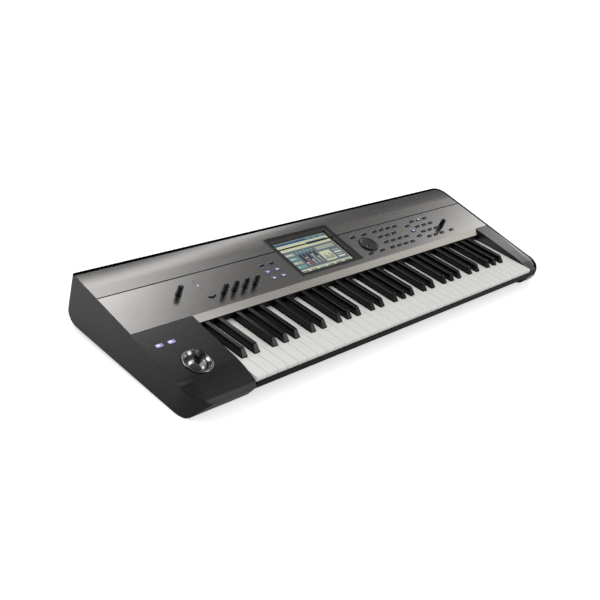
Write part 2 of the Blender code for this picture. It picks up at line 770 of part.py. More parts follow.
def build_bottom_case():
    """Floor with its turned-up front apron and the rail in front of the keys."""
    inside = HALF_WIDTH - WALL - 2 * GAP
    rear_y = HEEL_FRONT_Y - GAP
    corner = FRONT_CORNER_RADIUS / 2
    floor_plan = filleted(
        [
            (-inside, FLOOR_FRONT_Y, corner),
            (inside, FLOOR_FRONT_Y, corner),
            (inside, rear_y, 0),
            (-inside, rear_y, 0),
        ],
        FLOOR_CORNER_STEPS,
    )
    case = make_object("bottom_case", prism_z(floor_plan, FOOT_HEIGHT, FLOOR_TOP), black_case())
    rail_inner_y = KEY_FRONT_Y - RAIL_GAP
    rail_outer_y = rail_inner_y - RAIL_TOP_WIDTH
    apron_foot_y = FRONT_Y + APRON_RUN
    slope = (RAIL_LOW_Z - FOOT_HEIGHT) / APRON_RUN
    inner_low_z = RAIL_LOW_Z - slope * (rail_inner_y - FRONT_Y) + APRON_WALL
    inner_foot_y = apron_foot_y + (APRON_WALL - FLOOR_THICKNESS) / slope
    apron = [
        (FRONT_Y, RAIL_LOW_Z),
        (rail_outer_y, RAIL_TOP_Z - RAIL_BREAK),
        (rail_outer_y + RAIL_BREAK, RAIL_TOP_Z),
        (rail_inner_y, RAIL_TOP_Z),
        (rail_inner_y, inner_low_z),
        (inner_foot_y, FLOOR_TOP),
        (FLOOR_FRONT_Y + FLOOR_THICKNESS, FLOOR_TOP),
        (FLOOR_FRONT_Y + FLOOR_THICKNESS, FOOT_HEIGHT),
        (apron_foot_y, FOOT_HEIGHT),
    ]
    join(case, make_object("apron", prism_x(apron, BAY_LEFT, BAY_RIGHT), helper=True))
    bosses = bmesh.new()
    inset = BOSS_SIDE
    for x in sampled(BOARD_X[0] + inset, BOARD_X[1] - inset, BOSS_COLUMNS - 1):
        for y in (BOARD_Y[0] + inset, BOARD_Y[1] - inset):
            low = (x - BOSS_SIDE / 2, y - BOSS_SIDE / 2, FLOOR_TOP - FLOOR_THICKNESS / 2)
            high = (x + BOSS_SIDE / 2, y + BOSS_SIDE / 2, FLOOR_TOP + BOSS_HEIGHT)
            box(low, high, bosses)
    join(case, make_object("board_bosses", bosses, helper=True))
    return case


def build_rear_panel():
    """Rear wall between the blocks, leaning like them, with a top rim, a foot and the connector holes."""
    roof = SHEET + GAP
    inner_top_y = HALF_DEPTH - RIM
    wall_y = HALF_DEPTH - WALL
    outer = filleted(
        [
            (HALF_DEPTH, top_z(HALF_DEPTH), 0),
            (HALF_DEPTH - REAR_LEAN, HEEL_Z, HEEL_RADIUS),
            (HEEL_FRONT_Y, HEEL_Z, 0),
        ],
        HEEL_STEPS,
    )
    inner = [
        (HEEL_FRONT_Y, HEEL_Z + WALL),
        (wall_y - REAR_LEAN - HEEL_BREAK_BACK, HEEL_Z + WALL + HEEL_BREAK_RISE),
        (wall_y - REAR_LEAN, HEEL_Z + HEEL_RADIUS),
        (wall_y, top_z(wall_y) - roof - LEDGE_DEPTH),
        (wall_y - LEDGE_WIDTH, top_z(wall_y - LEDGE_WIDTH) - roof - LEDGE_DEPTH),
        (wall_y - LEDGE_WIDTH, top_z(wall_y - LEDGE_WIDTH) - roof),
        (wall_y, top_z(wall_y) - roof),
        (inner_top_y, top_z(inner_top_y) - roof),
        (inner_top_y, top_z(inner_top_y)),
    ]
    section = prism_x(outer + inner, -REAR_PANEL_HALF, REAR_PANEL_HALF)
    panel = make_object("rear_panel", section, black_case())
    holes = bmesh.new()
    deep = HALF_DEPTH - 2 * OVERCUT
    out = HALF_DEPTH + OVERCUT
    for x in jack_positions():
        prism_y(circle(JACK_BOSS + HOLE_CLEARANCE, SOCKET_SIDES, (x, REAR_SOCKET_Z)), deep, out, holes)
    for x in DIN_X:
        prism_y(circle(DIN_BOSS + HOLE_CLEARANCE, DIN_SIDES, (x, REAR_SOCKET_Z)), deep, out, holes)
    for x, (width, height), wall in ((USB_X, USB, USB_WALL), (INLET_X, INLET, 0), (POWER_X, POWER, 0)):
        half_x = width / 2 + wall + GAP
        half_z = height / 2 + wall + GAP
        outline = rectangle(x - half_x, x + half_x, REAR_SOCKET_Z - half_z, REAR_SOCKET_Z + half_z)
        prism_y(outline, deep, out, holes)
    cut(panel, make_object("connector_holes", holes, helper=True))
    return panel


def jack_positions():
    return [JACK_FIRST_X + i * JACK_PITCH for i in range(JACKS)]


def wall_y_at(z):
    """The rear wall's outer face at a height."""
    span = top_z(HALF_DEPTH) - HEEL_Z
    return HALF_DEPTH - REAR_LEAN * (top_z(HALF_DEPTH) - z) / span


def wall_inner_y_at(z):
    """The rear wall's inner face at a height above the heel."""
    wall_y = HALF_DEPTH - WALL
    low_z = HEEL_Z + HEEL_RADIUS
    high_z = top_z(wall_y) - SHEET - GAP - LEDGE_DEPTH
    return wall_y - REAR_LEAN * (high_z - z) / (high_z - low_z)


def connector_block(name, x_low, x_high, finish):
    """The body of a row of sockets, behind the rear wall."""
    front_y = wall_inner_y_at(REAR_SOCKET_Z - BLOCK_HEIGHT / 2) - GAP
    low = (x_low, front_y - BLOCK_DEPTH, REAR_SOCKET_Z - BLOCK_HEIGHT / 2)
    high = (x_high, front_y, REAR_SOCKET_Z + BLOCK_HEIGHT / 2)
    return make_object(name, box(low, high), finish), front_y


def build_audio_jacks():
    positions = jack_positions()
    block, front_y = connector_block(
        "audio_jacks", positions[0] - BLOCK_MARGIN, positions[-1] + BLOCK_MARGIN, gloss_black()
    )
    face_y = wall_y_at(REAR_SOCKET_Z) + SOCKET_PROUD
    bosses = bmesh.new()
    bores = bmesh.new()
    for x in positions:
        boss = circle(JACK_BOSS, SOCKET_SIDES, (x, REAR_SOCKET_Z))
        prism_y(boss, front_y - SOCKET_ROOT, face_y, bosses)
        bore = circle(JACK_BORE, SOCKET_SIDES, (x, REAR_SOCKET_Z))
        prism_y(bore, face_y - JACK_DEPTH, face_y + OVERCUT, bores)
    join(block, make_object("jack_bosses", bosses, helper=True))
    cut(block, make_object("jack_bores", bores, helper=True))
    return block


def build_data_sockets():
    block, front_y = connector_block(
        "data_sockets",
        DIN_X[0] - DIN_BOSS - DATA_BLOCK_MARGIN,
        USB_X + USB[0] / 2 + DATA_BLOCK_MARGIN,
        gloss_black(),
    )
    face_y = wall_y_at(REAR_SOCKET_Z) + SOCKET_PROUD
    bosses = bmesh.new()
    bores = bmesh.new()
    for x in DIN_X:
        boss = circle(DIN_BOSS, DIN_SIDES, (x, REAR_SOCKET_Z))
        prism_y(boss, front_y - SOCKET_ROOT, face_y, bosses)
        bore = circle(DIN_BORE, DIN_SIDES, (x, REAR_SOCKET_Z))
        prism_y(bore, face_y - DIN_DEPTH, face_y + OVERCUT, bores)
    half_x = USB[0] / 2
    half_z = USB[1] / 2
    for shape, wall, depth, end in (
        (bosses, USB_WALL, face_y - front_y + SOCKET_ROOT, face_y),
        (bores, 0, USB_DEPTH, face_y + OVERCUT),
    ):
        outline = rectangle(
            USB_X - half_x - wall,
            USB_X + half_x + wall,
            REAR_SOCKET_Z - half_z - wall,
            REAR_SOCKET_Z + half_z + wall,
        )
        prism_y(outline, face_y - depth, end, shape)
    join(block, make_object("data_bosses", bosses, helper=True))
    cut(block, make_object("data_bores", bores, helper=True))
    return block


def build_power_inlet():
    """Mains inlet: flanged body with a recess that holds three blades."""
    face_y = wall_y_at(REAR_SOCKET_Z) + SOCKET_PROUD
    half_x, half_z = INLET[0] / 2, INLET[1] / 2
    body = prism_y(
        rectangle(INLET_X - half_x, INLET_X + half_x, REAR_SOCKET_Z - half_z, REAR_SOCKET_Z + half_z),
        face_y - INLET_DEPTH - WALL,
        face_y,
    )
    inlet = make_object("power_inlet", body, gloss_black())
    half_x, half_z = INLET_RECESS[0] / 2, INLET_RECESS[1] / 2
    recess = prism_y(
        rectangle(INLET_X - half_x, INLET_X + half_x, REAR_SOCKET_Z - half_z, REAR_SOCKET_Z + half_z),
        face_y - INLET_DEPTH,
        face_y + OVERCUT,
    )
    cut(inlet, make_object("inlet_recess", recess, helper=True))
    blades = bmesh.new()
    outer = -INLET_PIN_FALL
    for shift_x, shift_z in ((-INLET_PIN_PITCH, outer), (0, INLET_PIN_RISE), (INLET_PIN_PITCH, outer)):
        x = INLET_X + shift_x
        z = REAR_SOCKET_Z + shift_z
        outline = rectangle(
            x - INLET_PIN[0] / 2, x + INLET_PIN[0] / 2, z - INLET_PIN[1] / 2, z + INLET_PIN[1] / 2
        )
        floor_y = face_y - INLET_DEPTH
        prism_y(outline, floor_y - WALL / 2, floor_y + INLET_PIN_LENGTH, blades)
    join(inlet, make_object("inlet_blades", blades, helper=True))
    return inlet


def build_power_button():
    """Push button that slides in the rear wall's opening."""
    face_y = wall_y_at(REAR_SOCKET_Z)
    half_x, half_z = POWER[0] / 2, POWER[1] / 2
    rings = []
    for y, inset in ((-POWER_DEPTH, 0), (POWER_PROUD - POWER_CROWN, 0), (POWER_PROUD, POWER_CROWN)):
        x_in, z_in = half_x - inset, half_z - inset
        rings.append([(-x_in, y, -z_in), (x_in, y, -z_in), (x_in, y, z_in), (-x_in, y, z_in)])
    button = make_object(
        "power_button", loft(rings), knob_black(), Matrix.Translation((POWER_X, face_y, REAR_SOCKET_Z))
    )
    return button


def columns(first, pitch, count):
    return [first + i * pitch for i in range(count)]


def button_rows():
    """Every panel button, by the rubber mat that carries it: name -> list of (x, y)."""
    bank_x = columns(BANK_FIRST_X, BANK_PITCH, BANK_COLUMNS)
    bank = [(x, y) for y in ROW_Y for x in bank_x]
    bank.remove((bank_x[-1], ROW_Y[-2]))
    sequencer_x = columns(SEQUENCER_FIRST_X, SEQUENCER_PITCH, SEQUENCER_COLUMNS)
    sequencer = [(x, y) for y in ROW_Y[:-1] for x in sequencer_x]
    sequencer += [(sequencer_x[0], ROW_Y[-1]), (sequencer_x[1] + PLAY_SHIFT, ROW_Y[-1])]
    sequencer += [(sequencer_x[2], ROW_Y[-1])]
    sequencer += [(SIDE_COLUMN_X, y) for y in BETWEEN_ROWS_Y] + [(TAP_X, ROW_Y[0])]
    left_x = columns(LEFT_FIRST_X, LEFT_PITCH, LEFT_COLUMNS)
    dial_x = (DIAL[0] - DIAL_BUTTON_SPAN / 2, DIAL[0] + DIAL_BUTTON_SPAN / 2)
    return {
        "left_button_mat": [(x, y) for y in BETWEEN_ROWS_Y for x in left_x],
        "dial_button_mat": [(x, y) for y in (ROW_Y[0], ROW_Y[-1]) for x in dial_x],
        "bank_button_mat": bank,
        "sequencer_button_mat": sequencer,
    }


def knob_places():
    places = {"volume_knob": VOLUME_KNOB, "tempo_knob": TEMPO_KNOB}
    for i in range(CONTROL_KNOBS):
        x, y = CONTROL_KNOB_LEFT
        places[f"control_knob_{i + 1}"] = (x + i * CONTROL_KNOB_PITCH, y)
    return places


def along(y):
    """Distance along the slope from the plan line y = 0."""
    return y / math.cos(SLOPE)


def panel_holes():
    """One cutter in the panel's own frame for buttons, shafts, the dial and the select button."""
    reach = 2 * SHEET
    holes = bmesh.new()
    half_x = BUTTON[0] / 2 + BUTTON_GAP
    half_y = BUTTON[1] / 2 + BUTTON_GAP
    for places in button_rows().values():
        for x, y in places:
            v = along(y)
            box((x - half_x, v - half_y, -reach), (x + half_x, v + half_y, reach), holes)
    for x, y in knob_places().values():
        prism_z(circle(SHAFT_RADIUS + HOLE_CLEARANCE, KNOB_SIDES, (x, along(y))), -reach, reach, holes)
    x, y = DIAL
    prism_z(circle(DIAL_RADIUS + DIAL_GAP, DIAL_SIDES, (x, along(y))), -reach, reach, holes)
    x, y = SELECT_BUTTON
    prism_z(select_outline(BUTTON_GAP, (x, along(y))), -reach, reach, holes)
    return make_object("panel_holes", holes, place=panel_frame(0, 0), helper=True)


def select_outline(grow, centre=(0, 0)):
    """The V of the select button, opened towards the rear."""
    x, y = centre
    half = SELECT_SPAN / 2 + grow
    wide = SELECT_WIDTH / 2 + grow
    low = -SELECT_BEND / 2
    high = SELECT_BEND / 2
    points = [(-half, high - wide), (0, low - wide), (half, high - wide)]
    points += [(half, high + wide), (0, low + wide), (-half, high + wide)]
    return [(x + a, y + b) for a, b in points]


def bezel_cutout():
    inset = BEZEL_FLANGE - GAP
    x_low, x_high = BEZEL_X[0] + inset, BEZEL_X[1] - inset
    v_low, v_high = along(BEZEL_Y[0]) + inset, along(BEZEL_Y[1]) - inset
    shape = box((x_low, v_low, -OVERCUT), (x_high, v_high, OVERCUT))
    return make_object("bezel_cutout", shape, place=panel_frame(0, 0), helper=True)


def build_control_panel(cutout):
    """Front sheet of the top: flat field with its folded lip over the keys, cut for every control."""
    half = HALF_WIDTH - RIM - GAP
    bend_y, rear = PANEL_FRONT_Y, GROOVE_Y - GROOVE_WIDTH / 2
    edge_y = bend_y - LIP_RUN
    edge_z = plane_z(bend_y) - LIP_DROP
    length = math.hypot(LIP_RUN, LIP_DROP)
    normal = (LIP_DROP / length, -LIP_RUN / length)
    profile = [
        (bend_y, plane_z(bend_y)),
        (edge_y, edge_z),
        (edge_y + normal[0] * SHEET, edge_z + normal[1] * SHEET),
        (bend_y + normal[0] * SHEET / 2, plane_z(bend_y) - SHEET),
        (rear, plane_z(rear) - SHEET),
        (rear, plane_z(rear)),
    ]
    panel = make_object("control_panel", prism_x(profile, -half, half), aluminium())
    over = OVERCUT
    wings = bmesh.new()
    for low, high in ((-half - over, BAY_LEFT), (BAY_RIGHT, half + over)):
        box((low, edge_y - over, 0), (high, bend_y + GAP, PANEL_REAR_Z), wings)
    cut(panel, make_object("lip_ends", wings, helper=True))
    cut(panel, panel_holes())
    cut(panel, cutout)
    return panel


def build_rear_top_panel(cutout):
    """Rear sheet of the top, behind the groove, rolled down along its back edge."""
    half = HALF_WIDTH - RIM - GAP
    front = GROOVE_Y + GROOVE_WIDTH / 2
    rear = HALF_DEPTH - RIM - GAP
    roll_y = HALF_DEPTH - ROLL_START_FROM_REAR
    upper = [(front, plane_z(front))] + top_points(roll_y, rear, SHEET_ROLL_STEPS)
    lower = [(y, z - SHEET) for y, z in upper]
    sheet = make_object("rear_top_panel", prism_x(upper + lower[::-1], -half, half), aluminium())
    left_radius = max(REAR_CORNER_RADIUS_LEFT - RIM - GAP, LEAST_CORNER)
    right_radius = REAR_CORNER_RADIUS_RIGHT - RIM - GAP
    over = OVERCUT
    plan = filleted(
        [
            (-half, front - over, 0),
            (half, front - over, 0),
            (half, rear, right_radius),
            (-half, rear, left_radius),
        ],
        CORNER_STEPS,
    )
    footprint = make_object("rear_top_footprint", prism_z(plan, 0, PANEL_REAR_Z + over), helper=True)
    boolean(sheet, footprint, "INTERSECT")
    cut(sheet, cutout)
    return sheet


def rectangle_loop(x, v, w):
    return [(x[0], v[0], w), (x[1], v[0], w), (x[1], v[1], w), (x[0], v[1], w)]


def grown(span, amount):
    return (span[0] - amount, span[1] + amount)


def build_display():
    """Bezel that drops through the panel, and the screen that sits under its window."""
    outer_x, outer_v = BEZEL_X, (along(BEZEL_Y[0]), along(BEZEL_Y[1]))
    window_x, window_v = WINDOW_X, (along(WINDOW_Y[0]), along(WINDOW_Y[1]))
    crest_x, crest_v = grown(window_x, WINDOW_SLOPE), grown(window_v, WINDOW_SLOPE)
    body_x, body_v = grown(outer_x, -BEZEL_FLANGE), grown(outer_v, -BEZEL_FLANGE)
    edge_x, edge_v = grown(outer_x, -BEZEL_BREAK), grown(outer_v, -BEZEL_BREAK)
    loops = [
        rectangle_loop(outer_x, outer_v, GAP),
        rectangle_loop(outer_x, outer_v, BEZEL_PROUD - BEZEL_BREAK),
        rectangle_loop(edge_x, edge_v, BEZEL_PROUD),
        rectangle_loop(crest_x, crest_v, BEZEL_PROUD),
        rectangle_loop(window_x, window_v, BEZEL_PROUD - WINDOW_SLOPE_DROP),
        rectangle_loop(window_x, window_v, -BEZEL_DEPTH),
        rectangle_loop(body_x, body_v, -BEZEL_DEPTH),
        rectangle_loop(body_x, body_v, GAP),
    ]
    make_object("display_bezel", loops_frame(loops), gloss_black(), panel_frame(0, 0))
    glass_x, glass_v = grown(window_x, SCREEN_OVERLAP), grown(window_v, SCREEN_OVERLAP)
    top = -BEZEL_DEPTH - GAP
    glass = box((glass_x[0], glass_v[0], top - SCREEN_THICKNESS), (glass_x[1], glass_v[1], top))
    make_object("display_screen", glass, screen_glass(), panel_frame(0, 0))


def button_cap(x, v, size, bottom, proud):
    """A button with a crowned top, as a closed loft in the panel's frame."""
    rings = []
    for w, inset in ((bottom, 0), (proud - BUTTON_CROWN, 0), (proud, BUTTON_CROWN)):
        half_x, half_y = size[0] / 2 - inset, size[1] / 2 - inset
        rings.append(
            [
                (x - half_x, v - half_y, w),
                (x + half_x, v - half_y, w),
                (x + half_x, v + half_y, w),
                (x - half_x, v + half_y, w),
            ]
        )
    return loft(rings)


def mat_outline(name, places):
    """Outline of a mat: a C beside the dial, an L beside the tempo knob, or a rectangle."""
    reach_x = BUTTON[0] / 2 + MAT_MARGIN
    reach_v = BUTTON[1] / 2 + MAT_MARGIN
    x_low = min(x for x, y in places) - reach_x
    x_high = max(x for x, y in places) + reach_x
    first_v = along(min(y for x, y in places))
    last_v = along(max(y for x, y in places))
    v_low, v_high = first_v - reach_v, last_v + reach_v
    if name == "dial_button_mat":
        spine = DIAL[0] - DIAL_RADIUS - MAT_SPINE
        front = first_v + BUTTON[1] / 2 + STRIP_MARGIN
        rear = last_v - BUTTON[1] / 2 - STRIP_MARGIN
        outline = [(spine - MAT_SPINE, v_low), (x_high, v_low), (x_high, front), (spine, front)]
        return outline + [(spine, rear), (x_high, rear), (x_high, v_high), (spine - MAT_SPINE, v_high)]
    if name == "sequencer_button_mat":
        last_column = SEQUENCER_FIRST_X + (SEQUENCER_COLUMNS - 1) * SEQUENCER_PITCH + reach_x
        arm = first_v + BUTTON[1] / 2 + STRIP_MARGIN
        outline = [(x_low, v_low), (x_high, v_low), (x_high, arm), (last_column, arm)]
        return outline + [(last_column, v_high), (x_low, v_high)]
    return rectangle(x_low, x_high, v_low, v_high)


def build_button_mats():
    """The rubber mats under the panel, each one moulding with its buttons standing through the holes."""
    for name, places in button_rows().items():
        sheet = prism_z(mat_outline(name, places), MAT_TOP - MAT_THICKNESS, MAT_TOP)
        finish = lit_violet() if name == "left_button_mat" else button_grey()
        mat = make_object(name, sheet, finish, panel_frame(0, 0))
        caps = bmesh.new()
        for x, y in places:
            add_shape(caps, button_cap(x, along(y), BUTTON, MAT_TOP - MAT_THICKNESS / 2, BUTTON_PROUD))
        join(mat, make_object(name + "_caps", caps, place=panel_frame(0, 0), helper=True))


def knob_shape():
    """A tall capped knob with a thin skirt, on its shaft."""
    skirt = KNOB_RADIUS + SKIRT_PROUD
    skirt_top = KNOB_LIFT + SKIRT_HEIGHT
    return revolve(
        [
            (0, -SHAFT_DEPTH),
            (SHAFT_RADIUS, -SHAFT_DEPTH),
            (SHAFT_RADIUS, KNOB_LIFT),
            (skirt, KNOB_LIFT),
            (skirt, skirt_top),
            (KNOB_RADIUS, skirt_top + SKIRT_PROUD),
            (KNOB_TOP_RADIUS, KNOB_HEIGHT - KNOB_CROWN),
            (KNOB_TOP_RADIUS - KNOB_CROWN / 2, KNOB_HEIGHT - KNOB_CROWN / 4),
            (KNOB_TOP_RADIUS - KNOB_CROWN, KNOB_HEIGHT),
            (0, KNOB_HEIGHT),
        ],
        KNOB_SIDES,
    )


def build_knobs():
    for name, (x, y) in knob_places().items():
        smooth(make_object(name, knob_shape(), knob_black(), panel_frame(x, y)))


def build_dial():
    """Value dial: dished disc with a finger dimple near its front left edge."""
    rim = DIAL_RADIUS
    dial = make_object(
        "value_dial",
        revolve(
            [
                (0, -DIAL_DEPTH),
                (rim - DIAL_DISH, -DIAL_DEPTH),
                (rim, DIAL_DISH - DIAL_DEPTH),
                (rim, DIAL_HEIGHT - DIAL_DISH),
                (rim - DIAL_DISH, DIAL_HEIGHT),
                (rim - DIAL_RIM, DIAL_HEIGHT),
                (rim - 2 * DIAL_RIM, DIAL_HEIGHT - DIAL_DISH),
                (0, DIAL_HEIGHT - DIAL_DISH - GAP),
            ],
            DIAL_SIDES,
        ),
        knob_black(),
        panel_frame(*DIAL),
    )
    sphere = bmesh.new()
    ball = DIAL_DIMPLE_BALL
    bmesh.ops.create_icosphere(sphere, subdivisions=2, radius=ball)
    lift = DIAL_HEIGHT - DIAL_DISH + math.sqrt(ball**2 - DIAL_DIMPLE_RADIUS**2)
    out = -DIAL_DIMPLE_OUT * math.sqrt(0.5)
    place = panel_frame(*DIAL) @ Matrix.Translation((out, out, lift))
    cut(dial, make_object("dial_dimple", sphere, place=place, helper=True))
    smooth(dial)
    return dial


def build_select_button():
    shape = prism_z(select_outline(0), MAT_TOP - MAT_THICKNESS, SWITCH_PROUD)
    return make_object("select_button", shape, button_grey(), panel_frame(*SELECT_BUTTON))


def build_switches():
    for i, x in enumerate(SWITCH_X):
        shape = button_cap(0, 0, SWITCH, -SWITCH_DEPTH, SWITCH_PROUD)
        make_object(f"assign_switch_{i + 1}", shape, lit_violet(), pad_frame(x, SWITCH_Y))


def joystick_ring_profile():
    """Half section of the ring, its sloped inner wall and the closed cup below, as (radius, height)."""
    ring, cup, throat = JOYSTICK_RING, JOYSTICK_CUP, JOYSTICK_THROAT
    floor = -JOYSTICK_CUP_DEPTH
    return [
        (0, floor - JOYSTICK_FLOOR),
        (cup + JOYSTICK_CUP_WALL, floor - JOYSTICK_FLOOR),
        (cup + JOYSTICK_CUP_WALL, GAP),
        (ring, GAP),
        (ring, RING_HEIGHT - RING_BREAK),
        (ring - RING_BREAK, RING_HEIGHT),
        (ring - RING_BAND, RING_HEIGHT),
        (throat + THROAT_LIP, THROAT_LIP - THROAT_DEPTH),
        (throat, -THROAT_DEPTH),
        (throat, -THROAT_DEPTH - THROAT_LIP),
        (cup, -THROAT_DEPTH - RING_BAND),
        (cup, floor),
        (0, floor),
    ]


def dome_profile():
    """Half section of the stick's dome with its shaft inside, from the pivot up."""
    outer, inner = DOME_RADIUS, DOME_RADIUS - DOME_WALL
    rise = sampled(0, math.radians(DOME_HALF_ANGLE), DOME_STEPS)
    profile = [(0, outer)] + [(outer * math.sin(t), outer * math.cos(t)) for t in rise[1:]]
    profile += [(inner * math.sin(t), inner * math.cos(t)) for t in rise[:1:-1]]
    root = STICK_RADIUS * STICK_ROOT_FLARE
    root_z = math.sqrt(inner**2 - root**2)
    foot = JOYSTICK_PIVOT_DEPTH - JOYSTICK_CUP_DEPTH + STICK_FOOT_CLEARANCE
    return profile + [(root, root_z), (STICK_RADIUS, root_z - root), (STICK_RADIUS, foot), (0, foot)]


def grip_shape():
    """Waisted grip, a loft of rounded rectangles."""
    rings = []
    for level, width, length in GRIP_SECTIONS:
        radius = width / 2 * GRIP_ROUNDING
        corners = rectangle(-width / 2, width / 2, -length / 2, length / 2)
        outline = filleted([(a, b, radius) for a, b in corners], GRIP_CORNER_STEPS)
        rings.append([(a, b, DOME_RADIUS + level) for a, b in outline])
    return loft(rings)


def build_joystick():
    """Ring with its cup, the gimbal hoop inside, and the stick with its dome and waisted grip."""
    place = pad_frame(*JOYSTICK)
    ring = revolve(joystick_ring_profile(), JOYSTICK_SIDES)
    smooth(make_object("joystick_ring", ring, gloss_black(), place))

    pivot = place @ Matrix.Translation((0, 0, -JOYSTICK_PIVOT_DEPTH))
    half = GIMBAL_HEIGHT / 2
    section = rectangle(GIMBAL_INNER, GIMBAL_OUTER, -half, half)
    gimbal = make_object("joystick_gimbal", revolve(section, GIMBAL_SIDES), dark_steel(), pivot)
    pins = bmesh.new()
    root = (GIMBAL_INNER + GIMBAL_OUTER) / 2
    tip = JOYSTICK_CUP - GAP
    for low, high in ((-tip, -root), (root, tip)):
        prism_x(circle(PIN_RADIUS, PIN_SIDES), low, high, pins)
    join(gimbal, make_object("gimbal_pins", pins, place=pivot, helper=True))

    stick = make_object("joystick_stick", revolve(dome_profile(), JOYSTICK_SIDES), gloss_black(), pivot)
    join(stick, make_object("stick_grip", grip_shape(), place=pivot, helper=True))
    smooth(stick)
    return stick


def rect_ring(y, x_low, x_high, z_low, z_high):
    return [(x_low, y, z_low), (x_high, y, z_low), (x_high, y, z_high), (x_low, y, z_high)]


def sharp_x(octave, index):
    """Centre line of a sharp; its place in the octave is counted in naturals."""
    return KEYS_LEFT + (octave * WHITES_PER_OCTAVE + SHARP_CENTRES[index]) * KEY_PITCH


def natural_sides(number):
    """Sides of a natural's head and of its tail, which is notched beside the sharps."""
    octave, step = divmod(number, WHITES_PER_OCTAVE)
    low = KEYS_LEFT + number * KEY_PITCH + KEY_GAP / 2
    high = low + KEY_PITCH - KEY_GAP
    tail_low, tail_high = low, high
    reach = SHARP_WIDTH / 2 + SHARP_SIDE_GAP
    for index in range(len(SHARP_CENTRES)):
        if number == NATURALS - 1:
            break
        x = sharp_x(octave, index)
        if x < (low + high) / 2 and x + reach > tail_low:
            tail_low = x + reach
        if x > (low + high) / 2 and x - reach < tail_high:
            tail_high = x - reach
    return (low, high), (tail_low, tail_high)


def natural_hollow(number, shape):
    """Adds the space inside a natural, open below: the head's and the tail's in one outline."""
    (low, high), (tail_low, tail_high) = natural_sides(number)
    wall = KEY_WALL
    front_y = KEY_FRONT_Y + KEY_BODY_FROM_FRONT + wall
    notch_y = KEY_FRONT_Y + SHARP_FROM_FRONT - SHARP_SIDE_GAP - wall
    end_y = KEY_TAIL_END_Y - wall
    outline = [(low + wall, front_y), (high - wall, front_y)]
    if tail_high < high:
        outline += [(high - wall, notch_y), (tail_high - wall, notch_y)]
    outline += [(tail_high - wall, end_y), (tail_low + wall, end_y)]
    if tail_low > low:
        outline += [(tail_low + wall, notch_y), (low + wall, notch_y)]
    return prism_z(outline, KEY_TOP_Z - KEY_DEPTH - wall, KEY_TOP_Z - KEY_ROOF, shape)


def sharp_hollow(octave, index, shape):
    """Adds the space inside a sharp, open below."""
    x = sharp_x(octave, index)
    half = SHARP_WIDTH / 2 - KEY_WALL
    front_y = KEY_FRONT_Y + SHARP_FROM_FRONT + SHARP_SLOPE_RUN + KEY_WALL
    low = (x - half, front_y, KEY_TOP_Z - KEY_DEPTH)
    high = (x + half, SHARP_END_Y - KEY_WALL, KEY_TOP_Z + SHARP_HEIGHT - KEY_ROOF)
    return box(low, high, shape)


def natural_key(number, hub_y):
    """One natural: bevelled head, notched tail, lowered arm and the hub at its hinge."""
    (low, high), (tail_low, tail_high) = natural_sides(number)
    notch_y = KEY_FRONT_Y + SHARP_FROM_FRONT - SHARP_SIDE_GAP
    top = KEY_TOP_Z
    bottom = KEY_TOP_Z - KEY_DEPTH
    arm_low, arm_high = tail_low + ARM_SIDE_GAP, tail_high - ARM_SIDE_GAP
    arm_top = top - ARM_DROP
    arm_bottom = arm_top - ARM_DEPTH
    edge = KEY_CHAMFER
    return loft(
        [
            rect_ring(KEY_FRONT_Y, low + edge / 2, high - edge / 2, top - KEY_LIP, top - edge),
            rect_ring(KEY_FRONT_Y + edge, low, high, top - KEY_LIP, top),
            rect_ring(KEY_FRONT_Y + KEY_BODY_FROM_FRONT, low, high, bottom, top),
            rect_ring(notch_y, low, high, bottom, top),
            rect_ring(notch_y + STEP_RUN, tail_low, tail_high, bottom, top),
            rect_ring(KEY_TAIL_END_Y, tail_low, tail_high, bottom, top),
            rect_ring(KEY_TAIL_END_Y + STEP_RUN, arm_low, arm_high, arm_bottom, arm_top),
            rect_ring(hub_y - STEP_RUN, arm_low, arm_high, arm_bottom, arm_top),
            rect_ring(hub_y, arm_low, arm_high, HUB_Z, arm_top),
            rect_ring(hub_y + HUB_LENGTH, arm_low, arm_high, HUB_Z, arm_top),
        ]
    )


def sharp_ring(x, y, half_low, half_high, z_low, z_high, bevel):
    """Six-sided section of a sharp, narrower and bevelled at the top."""
    shoulder = half_low + (half_high - half_low) * SHARP_SHOULDER
    return [
        (x - half_low, y, z_low),
        (x + half_low, y, z_low),
        (x + shoulder, y, z_high - bevel),
        (x + half_high - bevel / 2, y, z_high),
        (x - half_high + bevel / 2, y, z_high),
        (x - shoulder, y, z_high - bevel),
    ]


